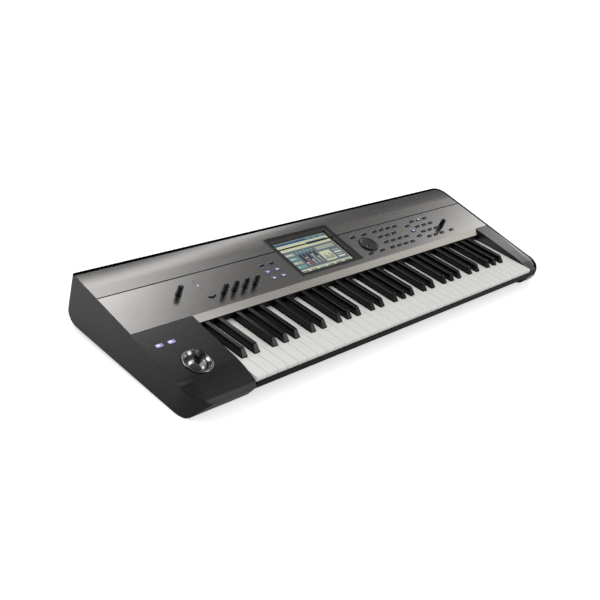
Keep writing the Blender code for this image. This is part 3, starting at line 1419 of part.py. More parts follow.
def sharp_key(octave, index, hub_y):
    """One sharp: sloped front, tapered bevelled cap, then the arm and hub like a natural's."""
    x = sharp_x(octave, index)
    front = KEY_FRONT_Y + SHARP_FROM_FRONT
    crest = front + SHARP_SLOPE_RUN
    half = SHARP_WIDTH / 2
    half_top = SHARP_TOP_WIDTH / 2
    cap_top = KEY_TOP_Z + SHARP_HEIGHT
    bottom = KEY_TOP_Z - KEY_DEPTH + SHARP_BOTTOM_LIFT
    arm_top = KEY_TOP_Z - ARM_DROP
    arm_bottom = arm_top - ARM_DEPTH
    arm = half - SHARP_SIDE_GAP
    bevel = SHARP_BEVEL
    return loft(
        [
            sharp_ring(x, front, half, half, bottom, KEY_TOP_Z + SHARP_FRONT_STEP, bevel / 2),
            sharp_ring(x, crest, half, half_top, bottom, cap_top - SHARP_CREST_DROP, bevel),
            sharp_ring(x, crest + SHARP_CREST_RUN, half, half_top, bottom, cap_top, bevel),
            sharp_ring(x, SHARP_END_Y, half, half_top, bottom, cap_top, bevel),
            sharp_ring(x, SHARP_END_Y + STEP_RUN, arm, arm, arm_bottom, arm_top, ARM_BEVEL),
            sharp_ring(x, hub_y - STEP_RUN, arm, arm, arm_bottom, arm_top, ARM_BEVEL),
            sharp_ring(x, hub_y, arm, arm, HUB_Z, arm_top, ARM_BEVEL),
            sharp_ring(x, hub_y + HUB_LENGTH, arm, arm, HUB_Z, arm_top, ARM_BEVEL),
        ]
    )


def hinge_frame(x, hub_y):
    """The hinge of a key or comb: its axis runs along X through the middle of the hub's foot."""
    return Matrix.Translation((x, hub_y + HUB_LENGTH / 2, HUB_Z + RAIL_DEPTH / 2))


def place_on_hinge(obj, x, hub_y):
    """Moves the object's origin onto its hinge without moving its shape."""
    frame = hinge_frame(x, hub_y)
    obj.data.transform(frame.inverted())
    obj.matrix_world = frame


def comb(name, keys, hollows, hub_y, finish):
    """Keys of one comb, joined at their hubs by the comb's own hinge rail."""
    shape = bmesh.new()
    for key in keys:
        add_shape(shape, key)
    low = min(vert.co.x for vert in shape.verts if vert.co.y > hub_y)
    high = max(vert.co.x for vert in shape.verts if vert.co.y > hub_y)
    inset = RAIL_INSET
    rail = box(
        (low + inset, hub_y + inset, HUB_Z + inset),
        (high - inset, hub_y + HUB_LENGTH - inset, HUB_Z + RAIL_DEPTH),
    )
    obj = make_object(name, shape, finish)
    join(obj, make_object(name + "_rail", rail, helper=True))
    cut(obj, make_object(name + "_hollows", hollows, helper=True))
    place_on_hinge(obj, (low + high) / 2, hub_y)
    return obj


def build_natural_comb(name, numbers, hub_y):
    hollows = bmesh.new()
    for number in numbers:
        natural_hollow(number, hollows)
    comb(name, [natural_key(number, hub_y) for number in numbers], hollows, hub_y, white_key())


def build_sharp_comb(name, octave, hub_y):
    hollows = bmesh.new()
    indices = range(len(SHARP_CENTRES))
    for index in indices:
        sharp_hollow(octave, index, hollows)
    comb(name, [sharp_key(octave, index, hub_y) for index in indices], hollows, hub_y, black_key())


def build_combs(octave):
    start = octave * WHITES_PER_OCTAVE
    group_a = [start + step for step in COMB_A]
    if octave == OCTAVES - 1:
        group_a.append(start + WHITES_PER_OCTAVE)
    label = f"octave_{octave + 1}"
    build_natural_comb(f"{label}_naturals_a", group_a, HUB_Y["natural_a"])
    build_natural_comb(f"{label}_naturals_b", [start + step for step in COMB_B], HUB_Y["natural_b"])
    build_sharp_comb(f"{label}_sharps", octave, HUB_Y["sharp"])


def build_single_keys(octave):
    """The middle octave, each key its own piece on its own hinge."""
    start = octave * WHITES_PER_OCTAVE
    for step, note in enumerate(NATURAL_NAMES):
        hub_y = HUB_Y["natural_a"] if step in COMB_A else HUB_Y["natural_b"]
        key = make_object(f"key_{note}", natural_key(start + step, hub_y), white_key())
        hollow = natural_hollow(start + step, bmesh.new())
        cut(key, make_object(f"key_{note}_hollow", hollow, helper=True))
        (low, high), tail = natural_sides(start + step)
        place_on_hinge(key, (low + high) / 2, hub_y)
    for index, note in enumerate(SHARP_NAMES):
        hub_y = HUB_Y["sharp"]
        key = make_object(f"key_{note}", sharp_key(octave, index, hub_y), black_key())
        hollow = sharp_hollow(octave, index, bmesh.new())
        cut(key, make_object(f"key_{note}_hollow", hollow, helper=True))
        place_on_hinge(key, sharp_x(octave, index), hub_y)


def build_keys():
    for octave in range(OCTAVES):
        if octave == SINGLE_OCTAVE:
            build_single_keys(octave)
        else:
            build_combs(octave)


def build_key_bed():
    """Folded chassis under the keys: stop rail in front, hat section under the hinges."""
    low = FLOOR_TOP + GAP
    sheet = BED_SHEET
    support_front = HUB_Y["natural_a"] - BED_SUPPORT_MARGIN
    support_rear = HUB_Y["sharp"] + HUB_LENGTH + BED_SUPPORT_MARGIN
    support_top = HUB_Z - GAP
    stop_rear = BED_STOP_Y + BED_STOP_WIDTH
    outline = [
        (BED_STOP_Y + sheet, low),
        (BED_STOP_Y + sheet, BED_STOP_Z - sheet),
        (stop_rear - sheet, BED_STOP_Z - sheet),
        (stop_rear - sheet, low),
        (support_front + sheet, low),
        (support_front + sheet, support_top - sheet),
        (support_rear - sheet, support_top - sheet),
        (support_rear - sheet, low),
        (support_rear, low),
        (support_rear, support_top),
        (support_front, support_top),
        (support_front, low + sheet),
        (stop_rear, low + sheet),
        (stop_rear, BED_STOP_Z),
        (BED_STOP_Y, BED_STOP_Z),
        (BED_STOP_Y, low),
    ]
    return make_object("key_bed", prism_x(outline, BAY_LEFT + GAP, BAY_RIGHT - GAP), dark_steel())


def build_key_strip():
    """Gloss black strip under the lip, where the keys disappear."""
    edge_y = PANEL_FRONT_Y - LIP_RUN
    edge_z = plane_z(PANEL_FRONT_Y) - LIP_DROP
    front = edge_y + STRIP_BACK
    rear = front + STRIP_THICKNESS
    rise = LIP_DROP / LIP_RUN
    under = SHEET * math.hypot(1, rise) + GAP
    outline = [
        (front, KEY_TOP_Z + STRIP_ABOVE_KEYS),
        (rear, KEY_TOP_Z + STRIP_ABOVE_KEYS),
        (rear, edge_z + rise * (rear - edge_y) - under),
        (front, edge_z + rise * (front - edge_y) - under),
    ]
    return make_object("key_strip", prism_x(outline, BAY_LEFT + GAP, BAY_RIGHT - GAP), gloss_black())


def build_main_board():
    low = (BOARD_X[0], BOARD_Y[0], FLOOR_TOP + BOSS_HEIGHT + GAP)
    high = (BOARD_X[1], BOARD_Y[1], low[2] + BOARD_THICKNESS)
    return make_object("main_board", box(low, high), board_green())


def build_feet():
    """Four turned rubber feet under the floor, tapered and broken at the ground."""
    profile = [
        (0, 0),
        (FOOT_RADIUS - FOOT_BREAK, 0),
        (FOOT_RADIUS - FOOT_TAPER, FOOT_BREAK),
        (FOOT_RADIUS, FOOT_HEIGHT - GAP),
        (0, FOOT_HEIGHT - GAP),
    ]
    for end, x in (("left", -HALF_WIDTH + FOOT_INSET_X), ("right", HALF_WIDTH - FOOT_INSET_X)):
        for row, y in (("front", FRONT_Y + FOOT_INSET_FRONT), ("rear", HALF_DEPTH - FOOT_INSET_REAR)):
            place = Matrix.Translation((x, y, 0))
            smooth(make_object(f"foot_{row}_{end}", revolve(profile, FOOT_SIDES), rubber(), place))


def build():
    clear_scene()
    build_left_block()
    build_right_block()
    build_bottom_case()
    build_rear_panel()
    cutout = bezel_cutout()
    build_control_panel(cutout)
    build_rear_top_panel(cutout)
    build_display()
    build_key_bed()
    build_key_strip()
    build_keys()
    build_knobs()
    build_dial()
    build_select_button()
    build_button_mats()
    build_switches()
    build_joystick()
    build_audio_jacks()
    build_data_sockets()
    build_power_inlet()
    build_power_button()
    build_main_board()
    build_feet()


build()
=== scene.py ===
"""Looks of the music workstation: materials, small details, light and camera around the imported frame."""
import math

import bmesh
import bpy
from mathutils import Matrix, Vector


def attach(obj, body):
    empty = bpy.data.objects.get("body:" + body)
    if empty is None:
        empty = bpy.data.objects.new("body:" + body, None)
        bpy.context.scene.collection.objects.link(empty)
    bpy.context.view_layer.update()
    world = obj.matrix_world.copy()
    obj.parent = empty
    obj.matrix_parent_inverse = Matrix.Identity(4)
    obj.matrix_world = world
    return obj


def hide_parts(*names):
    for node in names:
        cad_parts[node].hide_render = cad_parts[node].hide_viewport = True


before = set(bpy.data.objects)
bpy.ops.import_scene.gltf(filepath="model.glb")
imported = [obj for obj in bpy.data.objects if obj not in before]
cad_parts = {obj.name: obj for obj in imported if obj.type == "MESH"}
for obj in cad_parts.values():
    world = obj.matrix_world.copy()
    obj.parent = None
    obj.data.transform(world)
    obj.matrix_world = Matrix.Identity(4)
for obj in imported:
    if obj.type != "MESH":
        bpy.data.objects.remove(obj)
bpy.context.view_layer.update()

MM = 0.001

# Camera: its place, its right and up directions, its focal length and sensor in millimetres
CAMERA_PLACE = Vector((-1356.8829, -886.1618, 837.0120)) * MM
CAMERA_RIGHT = Vector((0.6616212, -0.7138487, 0.2295157))
CAMERA_UP = Vector((0.2165590, 0.4749537, 0.8529485))
CAMERA_LENS = 57.3238
CAMERA_SENSOR = 36

# Case: half sizes, the planes of the panel and the pad, the places of the left block's edge and the groove,
# and the plan radii of the corners
HALF_WIDTH = 513.5 * MM
HALF_DEPTH = 156.5 * MM
PANEL_REAR_Z = 91.4 * MM
PANEL_RISE = 0.163
SLOPE = math.atan(PANEL_RISE)
PANEL_FRONT_Y = 3.3 * MM
PAD_RISE = 0.135
PAD_SLOPE = math.atan(PAD_RISE)
PAD_DEPTH = 159.8 * MM
LEFT_BLOCK_X = -387.7 * MM
GROOVE_Y = 90.2 * MM
FRONT_CORNER = 41 * MM
REAR_CORNER_RIGHT = 26 * MM
REAR_CORNER_LEFT = 6.8 * MM
CORNER_STEPS = 10
UNDERSIDE_Z = 10 * MM

# Display
BEZEL_X = (-109 * MM, 68 * MM)
WINDOW_X = (-98 * MM, 53.6 * MM)
WINDOW_Y = (24.2 * MM, 112.7 * MM)
SCREEN_DROP = -6.3 * MM
PATCH_BASE = 0.02 * MM
PATCH_TOP = 0.1 * MM
PATCH_LAYER = 0.06 * MM

# Buttons; a cap's sections give the share of its height and the inset in millimetres
BUTTON = (12.2 * MM, 5.0 * MM)
BUTTON_PROUD = 1.7 * MM
BUTTON_FOOT = 0.1 * MM
ROW_Y = [(20.8 + 17.45 * i) * MM for i in range(4)]
BETWEEN_ROWS_Y = [y + 8.725 * MM for y in ROW_Y[:-1]]
BANK_X = [BEZEL_X[1] + (102.6 + 23 * i) * MM for i in range(4)]
SEQUENCER_X = [BEZEL_X[1] + (233.5 + 23.6 * i) * MM for i in range(3)]
REAR_ROW_SHIFT = 1.5 * MM
SIDE_X = SEQUENCER_X[0] - 26.1 * MM
TAP_X = SEQUENCER_X[0] + 82.8 * MM
LEFT_X = [BEZEL_X[0] + (-61.6 + 24.4 * i) * MM for i in range(2)]
LIT_BUTTONS = {"left_buttons": (0, 1, 2, 3), "sequencer_buttons": (10, 13)}
CAP_SECTIONS = ((0.0, 0.0), (0.72, 0.0), (0.88, 0.12), (0.97, 0.3), (1.0, 0.62))
CAP_COVER = 0.12 * MM
CAP_CORNER = 0.9 * MM
CAP_CORNER_STEPS = 3
LENS = (9.4 * MM, 3.4 * MM)
LENS_FOOT = BUTTON_PROUD / 2
LENS_PROUD = 0.25 * MM
SWITCH_LENS = (11.6 * MM, 5.0 * MM)
SWITCH_LENS_Z = (0.4 * MM, 1.45 * MM)
SWITCH_X = [-HALF_WIDTH + 27.9 * MM, -HALF_WIDTH + 51.9 * MM]
SWITCH_Y = -HALF_DEPTH + 0.767 * PAD_DEPTH

# Knobs: places in metres, profile as radius and height in millimetres, ribs, and the faces of the pointer
KNOBS = {
    "volume_knob": (LEFT_BLOCK_X + 11.9 * MM, 53.6 * MM),
    "tempo_knob": (SEQUENCER_X[0] + 65.8 * MM, 38.5 * MM),
    "control_knob_1": (LEFT_BLOCK_X + 93.4 * MM, 29.9 * MM),
    "control_knob_2": (LEFT_BLOCK_X + 118.2 * MM, 29.9 * MM),
    "control_knob_3": (LEFT_BLOCK_X + 143.0 * MM, 29.9 * MM),
    "control_knob_4": (LEFT_BLOCK_X + 167.8 * MM, 29.9 * MM),
}
KNOB_PROFILE = [
    (0.0, -2.3), (3.0, -2.3), (3.0, 0.5), (5.5, 0.5), (5.9, 0.8), (5.9, 1.5), (5.6, 1.9), (5.3, 2.2),
    (5.24, 4.0), (5.12, 8.0), (5.02, 12.0), (4.93, 16.0), (4.8, 16.9), (4.5, 17.5), (4.0, 17.9),
    (3.2, 18.05), (1.6, 17.95), (0.0, 17.9),
]
KNOB_SIDES = 120
RIBS = 20
RIB_DEPTH = 0.28 * MM
RIB_SPAN = (2.6, 17.0)
RIB_FADE = 1.5
POINTER_HALF = 2
POINTER_FROM = 10

# Value dial: its place and its buttons' places in metres, its forms in millimetres
DIAL = (BEZEL_X[1] + 49.9 * MM, 45.2 * MM)
DIAL_BUTTON_X = (DIAL[0] - 18.4 * MM, DIAL[0] + 18.4 * MM)
DIAL_SIDE = [(19.5, -2.2), (20.4, -1.4), (20.5, -0.6), (20.5, 0.4), (20.5, 1.4)]
DIAL_RINGS = [
    20.5, 20.45, 20.3, 20.0, 19.5, 18.6, 17.9, 17.0, 16.0, 14.6, 13.0, 11.4, 9.8, 8.2, 6.6, 5.0, 3.4, 1.8,
]
DIAL_SIDES = 128
DIAL_TOP = 3.0
DIAL_RIM = (17.9, 20.0)
DIAL_BREAK = 0.5
KNURL_DEPTH = 0.22
KNURL_FROM = -1
DISH_RADIUS = 16.0
DISH_TOP = 2.0
DISH_SAG = 0.25
DIMPLE = (-7.78, -7.78)
DIMPLE_RADIUS = 5.6
DIMPLE_DEPTH = 1.7
DIMPLE_POWER = 1.2

# Joystick: its place and pivot in metres, its forms in millimetres; a section of the grip is its height over
# the dome's crown, its width and its length; an arc is centre, radius, start, end and steps
JOYSTICK = (-HALF_WIDTH + 59.6 * MM, -HALF_DEPTH + 0.4415 * PAD_DEPTH)
JOYSTICK_PIVOT = 15 * MM
JOYSTICK_SIDES = 128
DOME_RADIUS = 21
DOME_INSIDE = 19
DOME_ANGLES = (range(0, 61, 4), range(60, 11, -4))
STEM = [(3.6, 18.2), (3.0, 15.0), (3.0, -10.0), (0, -10.0)]
RING_OUTSIDE = [(0, -30), (23, -30), (23, 0.3), (25.6, 0.3)]
RING_CREST = (((24.1, 0.9), 1.5, 0, 90, 6), ((22.6, 1.6), 0.8, 90, 150, 4))
RING_INSIDE = [
    (21.4, 1.3), (20.2, 0.4), (19.2, -0.6), (18.3, -1.5), (17.95, -1.9), (17.8, -2.3), (17.8, -2.8),
    (21.5, -5.4), (21.5, -28), (0, -28),
]
GRIP_SECTIONS = [
    (-3.0, 12.0, 14.0), (0.6, 12.2, 14.4), (1.2, 11.6, 14.0), (2.4, 9.4, 12.2), (4.0, 8.0, 11.0),
    (5.6, 8.8, 12.4), (7.2, 11.2, 15.6), (8.6, 13.4, 18.6), (9.6, 14.5, 20.0), (10.3, 14.3, 19.8),
    (10.8, 13.2, 18.6), (11.0, 11.4, 16.6),
]
GRIP_CORNER = 0.42
GRIP_CORNER_STEPS = 7

# Indicator lamps (place, lit) and their profile, in millimetres
LED_PLACES = ((-326.8, 61.2, True), (-326.8, 72.8, False), (-326.8, 49.4, False))
LED_PROFILE = [(0, -1), (1.0, -1), (1.0, 0.2), (0.9, 0.45), (0.6, 0.65), (0, 0.75)]
LED_SIDES = 24

# Prints: ticks round the knobs (reach, length), strokes over the buttons, rules behind the groups
MARK_HEIGHT = 0.06 * MM
MARK_FOOT = -0.02 * MM
TICK_ANGLES = [-60 + 30 * k for k in range(11)]
TICK_LONG = (8.4 * MM, 1.6 * MM)
TICK_SHORT = (8.1 * MM, 1.0 * MM)
TICK_WIDTH = 0.25 * MM
STROKE_SHIFT = (-0.6 * MM, 4.6 * MM)
STROKE_LENGTHS = (6.5 * MM, 8.5 * MM, 10.5 * MM)
STROKE_WIDTH = 0.5 * MM
RULES = (
    ((BANK_X[0] + BANK_X[-1]) / 2, ROW_Y[-1] + 11 * MM, 84 * MM),
    ((SEQUENCER_X[0] + SEQUENCER_X[-1]) / 2, ROW_Y[-1] + 11 * MM, 62 * MM),
    ((LEFT_X[0] + LEFT_X[1]) / 2, BETWEEN_ROWS_Y[-1] + 10 * MM, 37 * MM),
)
RULE_WIDTH = 0.4 * MM

# A black strip in the groove as painted shade, and the bead along the edges with its half width and half
# height
GROOVE_SHADE_HALF_LENGTH = HALF_WIDTH - 3.4 * MM
GROOVE_SHADE_HALF_WIDTH = 1.0 * MM
GROOVE_SHADE_Z = (-1.0 * MM, 0.12 * MM)
BEAD = (3.6 * MM, 0.5 * MM)
BEAD_MARGIN = 0.1 * MM
BEAD_SIDES = 8
BEAD_START = -60
BEAD_START_POINTS = 8
BEAD_STRAIGHT_STEPS = 25
BEAD_LEAST_HEIGHT = 30 * MM
BEAD_MOST_STEP = 3 * MM
TOP_NODES = ("left_end_block", "right_end_block", "rear_panel", "rear_top_panel", "control_panel")
OVERHEAD = 0.2

# Rear wall and underside; profiles and the screws' places are in millimetres, a screw's radius and height
# in metres
SOCKET_FACE_Y = 155.0 * MM
REAR_SOCKET_Z = 50 * MM
JACK_X = [(-60 + 24 * i) * MM for i in range(6)]
COLLAR_PROFILE = [(3.25, -1.5), (4.6, -1.5), (4.6, 0.5), (4.3, 0.8), (3.6, 0.8), (3.25, 0.5), (3.25, -1.5)]
COLLAR_SIDES = 48
COLLAR_OUT = 0.2 * MM
COLLAR_WELD = 0.01 * MM
DATA_SOCKET_X = (160 * MM, 186 * MM)
PIN_CIRCLE = 4.4 * MM
PIN_ANGLES = (0, 45, 90, 135, 180)
PIN_PROFILE = [(0, -9.2), (0.6, -9.2), (0.6, -7.6), (0, -7.3)]
PIN_SIDES = 16
REAR_SCREWS_X = (-450, -300, -150, 90, 250, 330, 470)
REAR_SCREWS_Z = (34, 72)
REAR_SCREW = (2.6 * MM, 0.1 * MM)
REAR_SCREW_OUT = -1.0 * MM
FLOOR_SCREWS_X = (-380, -250, -120, 0, 120, 250, 380)
FLOOR_SCREWS_Y = (-110, 40, 108)
FLOOR_SCREW = (3.2 * MM, 1.6 * MM)
SCREW_FOOT = -0.6 * MM
SCREW_HEAD = ((1.0, 0.35), (0.9, 0.75), (0.66, 1.0), (0.0, 1.0))
SCREW_SIDES = 28

# Moulded finishes: color, roughness, height and size of the grain in mm, mottling, rounding of the edges
# in mm, specular level, coat, spread of the roughness
CASE_BLACK = (0.0072, 0.0072, 0.0078)
MOULDED = {
    "black_case": (CASE_BLACK, 0.3, 0.014, 0.9, 0.1, 2.4, 0.8, 0.0, 0.08),
    "treble_case": (CASE_BLACK, 0.22, 0.01, 0.9, 0.1, 1.0, 0.9, 0.35, 0.08),
    # Black for the bead along the edges, and painted shade for the strip in the groove
    "black_seam": ((0.003, 0.003, 0.003), 0.8, 0.01, 0.9, 0.1, 0.0, 0.0, 0.0, 0.08),
    "black_satin": ((0.004, 0.004, 0.0045), 0.5, 0.02, 0.9, 0.1, 0.6, 0.15, 0.0, 0.08),
    "bezel_black": ((0.013, 0.011, 0.0125), 0.25, 0.008, 0.9, 0.1, 0.4, 0.5, 0.0, 0.08),
    "dial_black": ((0.013, 0.013, 0.0145), 0.36, 0.01, 0.6, 0.1, 0.0, 0.5, 0.0, 0.08),
    "gloss_black": ((0.006, 0.006, 0.007), 0.09, 0.004, 3.0, 0.05, 0.3, 0.4, 0.3, 0.03),
    "joystick_gloss": ((0.004, 0.004, 0.005), 0.12, 0.004, 3.0, 0.05, 0.0, 0.4, 0.3, 0.03),
    "white_key": ((0.88, 0.88, 0.845), 0.26, 0.006, 1.6, 0.015, 0.5, 0.45, 0.15, 0.05),
    "black_key": ((0.0026, 0.0026, 0.0032), 0.16, 0.005, 0.8, 0.08, 0.7, 0.24, 0.0, 0.04),
    "knob_black": ((0.002, 0.002, 0.0023), 0.13, 0.004, 0.6, 0.1, 0.0, 0.34, 0.2, 0.04),
    "knob_pointer": ((0.62, 0.62, 0.6), 0.4, 0.01, 0.6, 0.04, 0.0, 0.5, 0.0, 0.08),
    "button_grey": ((0.004, 0.004, 0.005), 0.16, 0.006, 0.6, 0.08, 0.3, 0.45, 0.0, 0.08),
    "board_green": ((0.02, 0.16, 0.07), 0.4, 0.04, 1.2, 0.25, 0.0, 0.5, 0.0, 0.08),
    "screen_glass": ((0.36, 0.4, 0.3), 0.12, 0.002, 4.0, 0.03, 0.0, 0.5, 0.5, 0.03),
    "rubber": ((0.014, 0.014, 0.014), 0.8, 0.05, 0.8, 0.15, 0.5, 0.3, 0.0, 0.08),
    "lamp_clear": ((0.03, 0.03, 0.032), 0.2, 0.005, 1.0, 0.05, 0.0, 0.5, 0.0, 0.08),
    "print_pale": ((0.62, 0.62, 0.6), 0.5, 0.005, 0.8, 0.05, 0.0, 0.5, 0.0, 0.08),
    "print_dark": ((0.03, 0.03, 0.032), 0.5, 0.005, 0.8, 0.05, 0.0, 0.5, 0.0, 0.08),
}
COAT_ROUGHNESS = 0.06
MOTTLE_SCALE = 45.0

# Brushed metals: color, roughness, scale of the scratches along each axis
ALUMINIUM = (0.50, 0.487, 0.475)
SHEET_GRAIN = (18, 5200, 5200)
BRUSHED = {
    "brushed_aluminium": (ALUMINIUM, 0.2, SHEET_GRAIN),
    # The rear sheet's aluminium is the panel's metal painted darker, 0.86 of its colour, as painted shade
    "rolled_aluminium": ([channel * 0.86 for channel in ALUMINIUM], 0.24, SHEET_GRAIN),
    "dark_steel": ((0.2, 0.2, 0.205), 0.38, (260, 2400, 2400)),
    "dark_chrome": ((0.26, 0.26, 0.27), 0.08, (120, 120, 120)),
    "nickel": ((0.55, 0.54, 0.51), 0.22, (900, 900, 900)),
    "black_zinc": ((0.09, 0.09, 0.095), 0.35, (900, 900, 900)),
}
CLOUD_SCALE = (6, 14, 14)
SCRATCH_DEPTH = 0.0012 * MM

# Lit plastics: color, strength, color of the hot heart; the heart's place is a share of the lens
GLOWING = {
    "lit_violet": ((0.32, 0.27, 0.56), 1.1, (0.95, 0.93, 1.0)),
    "lamp_white": ((0.8, 0.85, 0.95), 1.2, (1.0, 1.0, 1.0)),
}
LAMP_SPOT = (0.22, 0.4, 1.0)
GLOW_GRAIN = 2400.0

# The rear sheet's roll, and the case's painted sheen, its specular level weaker at the front and stronger at
# the rear: span and levels
ROLL_SPAN = (112 * MM, 154 * MM)
ROLL_TILT = 12
PAINTED_SHEEN = {
    "black_case": ((-150 * MM, 60 * MM), (0.24, 0.85)),
    "treble_case": ((-100 * MM, 10 * MM), (0.15, 1.1)),
}

# Nodes whose finish differs from that of their slot
OWN_FINISH = {
    "rear_top_panel": "rolled_aluminium", "bottom_case": "black_satin", "key_bed": "black_satin",
    "key_strip": "black_satin", "right_end_block": "treble_case", "display_bezel": "bezel_black",
}

# The screen's colors, the scale of its dots and its brightness
SCREEN_COLORS = {
    "back": (0.42, 0.45, 0.36),
    "strip": (0.04, 0.10, 0.20),
    "bar": (0.57, 0.59, 0.40),
    "bar_dim": (0.33, 0.37, 0.30),
    "slate": (0.125, 0.15, 0.185),
    "teal": (0.15, 0.32, 0.29),
    "rust": (0.33, 0.12, 0.09),
    "ink": (0.03, 0.04, 0.05),
    "white": (0.66, 0.68, 0.62),
}
DOT_SCALE = (2500, 2500, 2500)
SCREEN_LIGHT = 0.85

# Floor and room; the room that gloss shows has a brightness by compass angle in degrees, counted from the
# treble end's side towards the rear, one list below and one above a soft edge, and one level for its top
FLOOR_HALF = 30
FLOOR_COLOR = (0.86, 0.86, 0.86)
FLOOR_LIFT = 0.58
WORLD_LIGHT = 0.65
WORLD_COLOR = (0.985, 0.99, 1.0)
ROOM_HIGH = (
    (-180, 0.16), (-60, 0.16), (-24, 0.22), (-18, 0.43), (-13, 1.4), (4, 0.6), (15, 0.5), (20, 0.28),
    (23, 0.15), (31, 0.14), (35, 0.68), (38, 1.8), (58, 1.7), (68, 0.4), (108, 0.3), (120, 3.2), (146, 3.2),
    (158, 0.16), (180, 0.16),
)
ROOM_LOW = (
    (-180, 0.14), (-64, 0.14), (-58, 2.8), (-42, 2.8), (-36, 0.4), (-20, 0.5), (-13, 1.3), (4, 0.9),
    (8, 1.9), (17.5, 1.9), (20, 0.32), (23, 0.25), (26, 0.14), (38.5, 0.06), (39.5, 1.6), (42, 1.6),
    (44, 0.06), (60, 0.06), (90, 0.15), (180, 0.14),
)
ROOM_TOP = 0.2
ROOM_PEAK = 5.0
WARM_WALL = (-60, -10)
WARM_TINT = (1.0, 0.965, 0.9)
NO_TINT = (1.0, 1.0, 1.0)
HORIZON = (31, 38)
CEILING = (52, 64)

# Lamps: name, place, size in metres, watts
LAMPS = (
    ("key_lamp", (-1.1, 1.0, 1.9), 1.4, 9.0),
    ("fill_lamp", (0.9, -1.4, 1.6), 1.6, 7.0),
)
LAMP_AIM = Vector((0, 0, 0.05))

# Shading: the angle from which an edge is sharp, and the samples of a rounded edge
SMOOTH_ANGLE = math.radians(35)
BEVEL_SAMPLES = 6


def add_camera():
    """The camera that the picture is taken with."""
    data = bpy.data.cameras.new("camera")
    data.lens = CAMERA_LENS
    data.sensor_width = CAMERA_SENSOR
    back = CAMERA_RIGHT.cross(CAMERA_UP).normalized()
    turn = Matrix((CAMERA_RIGHT.normalized(), CAMERA_UP.normalized(), back)).transposed()
    camera = bpy.data.objects.new("camera", data)
    camera.matrix_world = Matrix.Translation(CAMERA_PLACE) @ turn.to_4x4()
    bpy.context.collection.objects.link(camera)
    bpy.context.scene.camera = camera


def panel_frame(x, y):
    """A frame on the panel over a plan point, with Z along the panel's normal."""
    z = PANEL_REAR_Z + PANEL_RISE * (y - HALF_DEPTH)
    return Matrix.Translation((x, y, z)) @ Matrix.Rotation(SLOPE, 4, "X")


def pad_frame(x, y):
    """A frame on the left end block's pad over a plan point, with Z along the pad's normal."""
    z = PANEL_REAR_Z + PANEL_RISE * (PANEL_FRONT_Y - HALF_DEPTH) + PAD_RISE * (y - PANEL_FRONT_Y)
    return Matrix.Translation((x, y, z)) @ Matrix.Rotation(PAD_SLOPE, 4, "X")


def rear_frame(out=0.0):
    """A frame on the rear wall at the sockets' height, whose Z looks backwards."""
    turn = Matrix.Rotation(-math.pi / 2, 4, "X")
    return Matrix.Translation((0, SOCKET_FACE_Y + out, REAR_SOCKET_Z)) @ turn


def along(y):
    """The way up the panel's slope to a plan distance."""
    return y / math.cos(SLOPE)


def scaled(color, factor):
    """A color made darker or lighter."""
    return tuple(min(1.0, channel * factor) for channel in color)


def in_metres(profile):
    """A profile in millimetres, turned to metres."""
    return [(radius * MM, z * MM) for radius, z in profile]


class Nodes:
    """A node tree, with short calls for the nodes that the finishes and the room use."""

    def __init__(self, tree):
        """Wraps a tree."""
        self.tree = tree

    def node(self, kind, **values):
        """A new node with the settings given."""
        made = self.tree.nodes.new(kind)
        for key, value in values.items():
            setattr(made, key, value)
        return made

    def link(self, source, target):
        """Joins an output to an input."""
        self.tree.links.new(source, target)

    def place(self, scale, space="Object"):
        """Coordinates in metres, scaled along each axis."""
        mapping = self.node("ShaderNodeMapping")
        mapping.inputs["Scale"].default_value = scale
        self.link(self.node("ShaderNodeTexCoord").outputs[space], mapping.inputs["Vector"])
        return mapping.outputs["Vector"]

    def axes(self, space):
        """The coordinates of a space, one output for each axis."""
        split = self.node("ShaderNodeSeparateXYZ")
        self.link(self.node("ShaderNodeTexCoord").outputs[space], split.inputs["Vector"])
        return split.outputs

    def noise(self, vector, scale, detail=3.0, roughness=0.5):
        """Soft noise."""
        made = self.node("ShaderNodeTexNoise")
        made.inputs["Scale"].default_value = scale
        made.inputs["Detail"].default_value = detail
        made.inputs["Roughness"].default_value = roughness
        self.link(vector, made.inputs["Vector"])
        return made.outputs["Fac"]

    def spread(self, value, low, high, source=(0.3, 0.7), interpolation="LINEAR"):
        """A value's source span laid over the span from low to high."""
        made = self.node("ShaderNodeMapRange", interpolation_type=interpolation)
        made.inputs["From Min"].default_value = source[0]
        made.inputs["From Max"].default_value = source[1]
        made.inputs["To Min"].default_value = low
        made.inputs["To Max"].default_value = high
        self.link(value, made.inputs["Value"])
        return made.outputs["Result"]

    def ramp(self, value, stops):
        """Colors by value, from (position, color) stops."""
        made = self.node("ShaderNodeValToRGB")
        elements = made.color_ramp.elements
        while len(elements) < len(stops):
            elements.new(0.5)
        for element, (position, color) in zip(elements, stops):
            element.position = position
            element.color = (*color, 1)
        self.link(value, made.inputs["Fac"])
        return made.outputs["Color"]


class Finish(Nodes):
    """A material's nodes around its surface shader."""

    def __init__(self, name):
        """Starts a new material."""
        self.material = bpy.data.materials.new(name)
        self.material.use_nodes = True
        super().__init__(self.material.node_tree)
        self.shader = self.tree.nodes["Principled BSDF"]

    def settle(self, **values):
        """Sets inputs of the surface shader; an underscore in a name stands for a space."""
        for key, value in values.items():
            self.shader.inputs[key.replace("_", " ")].default_value = value

    def bump(self, height, distance, rounding=0.0, below=None):
        """Relief in the surface, with rounded edges or over another relief where asked."""
        made = self.node("ShaderNodeBump")
        made.inputs["Strength"].default_value = 1.0
        made.inputs["Distance"].default_value = distance
        self.link(height, made.inputs["Height"])
        if rounding:
            bevel = self.node("ShaderNodeBevel", samples=BEVEL_SAMPLES)
            bevel.inputs["Radius"].default_value = rounding
            self.link(bevel.outputs["Normal"], made.inputs["Normal"])
        if below:
            self.link(below, made.inputs["Normal"])
        self.link(made.outputs["Normal"], self.shader.inputs["Normal"])


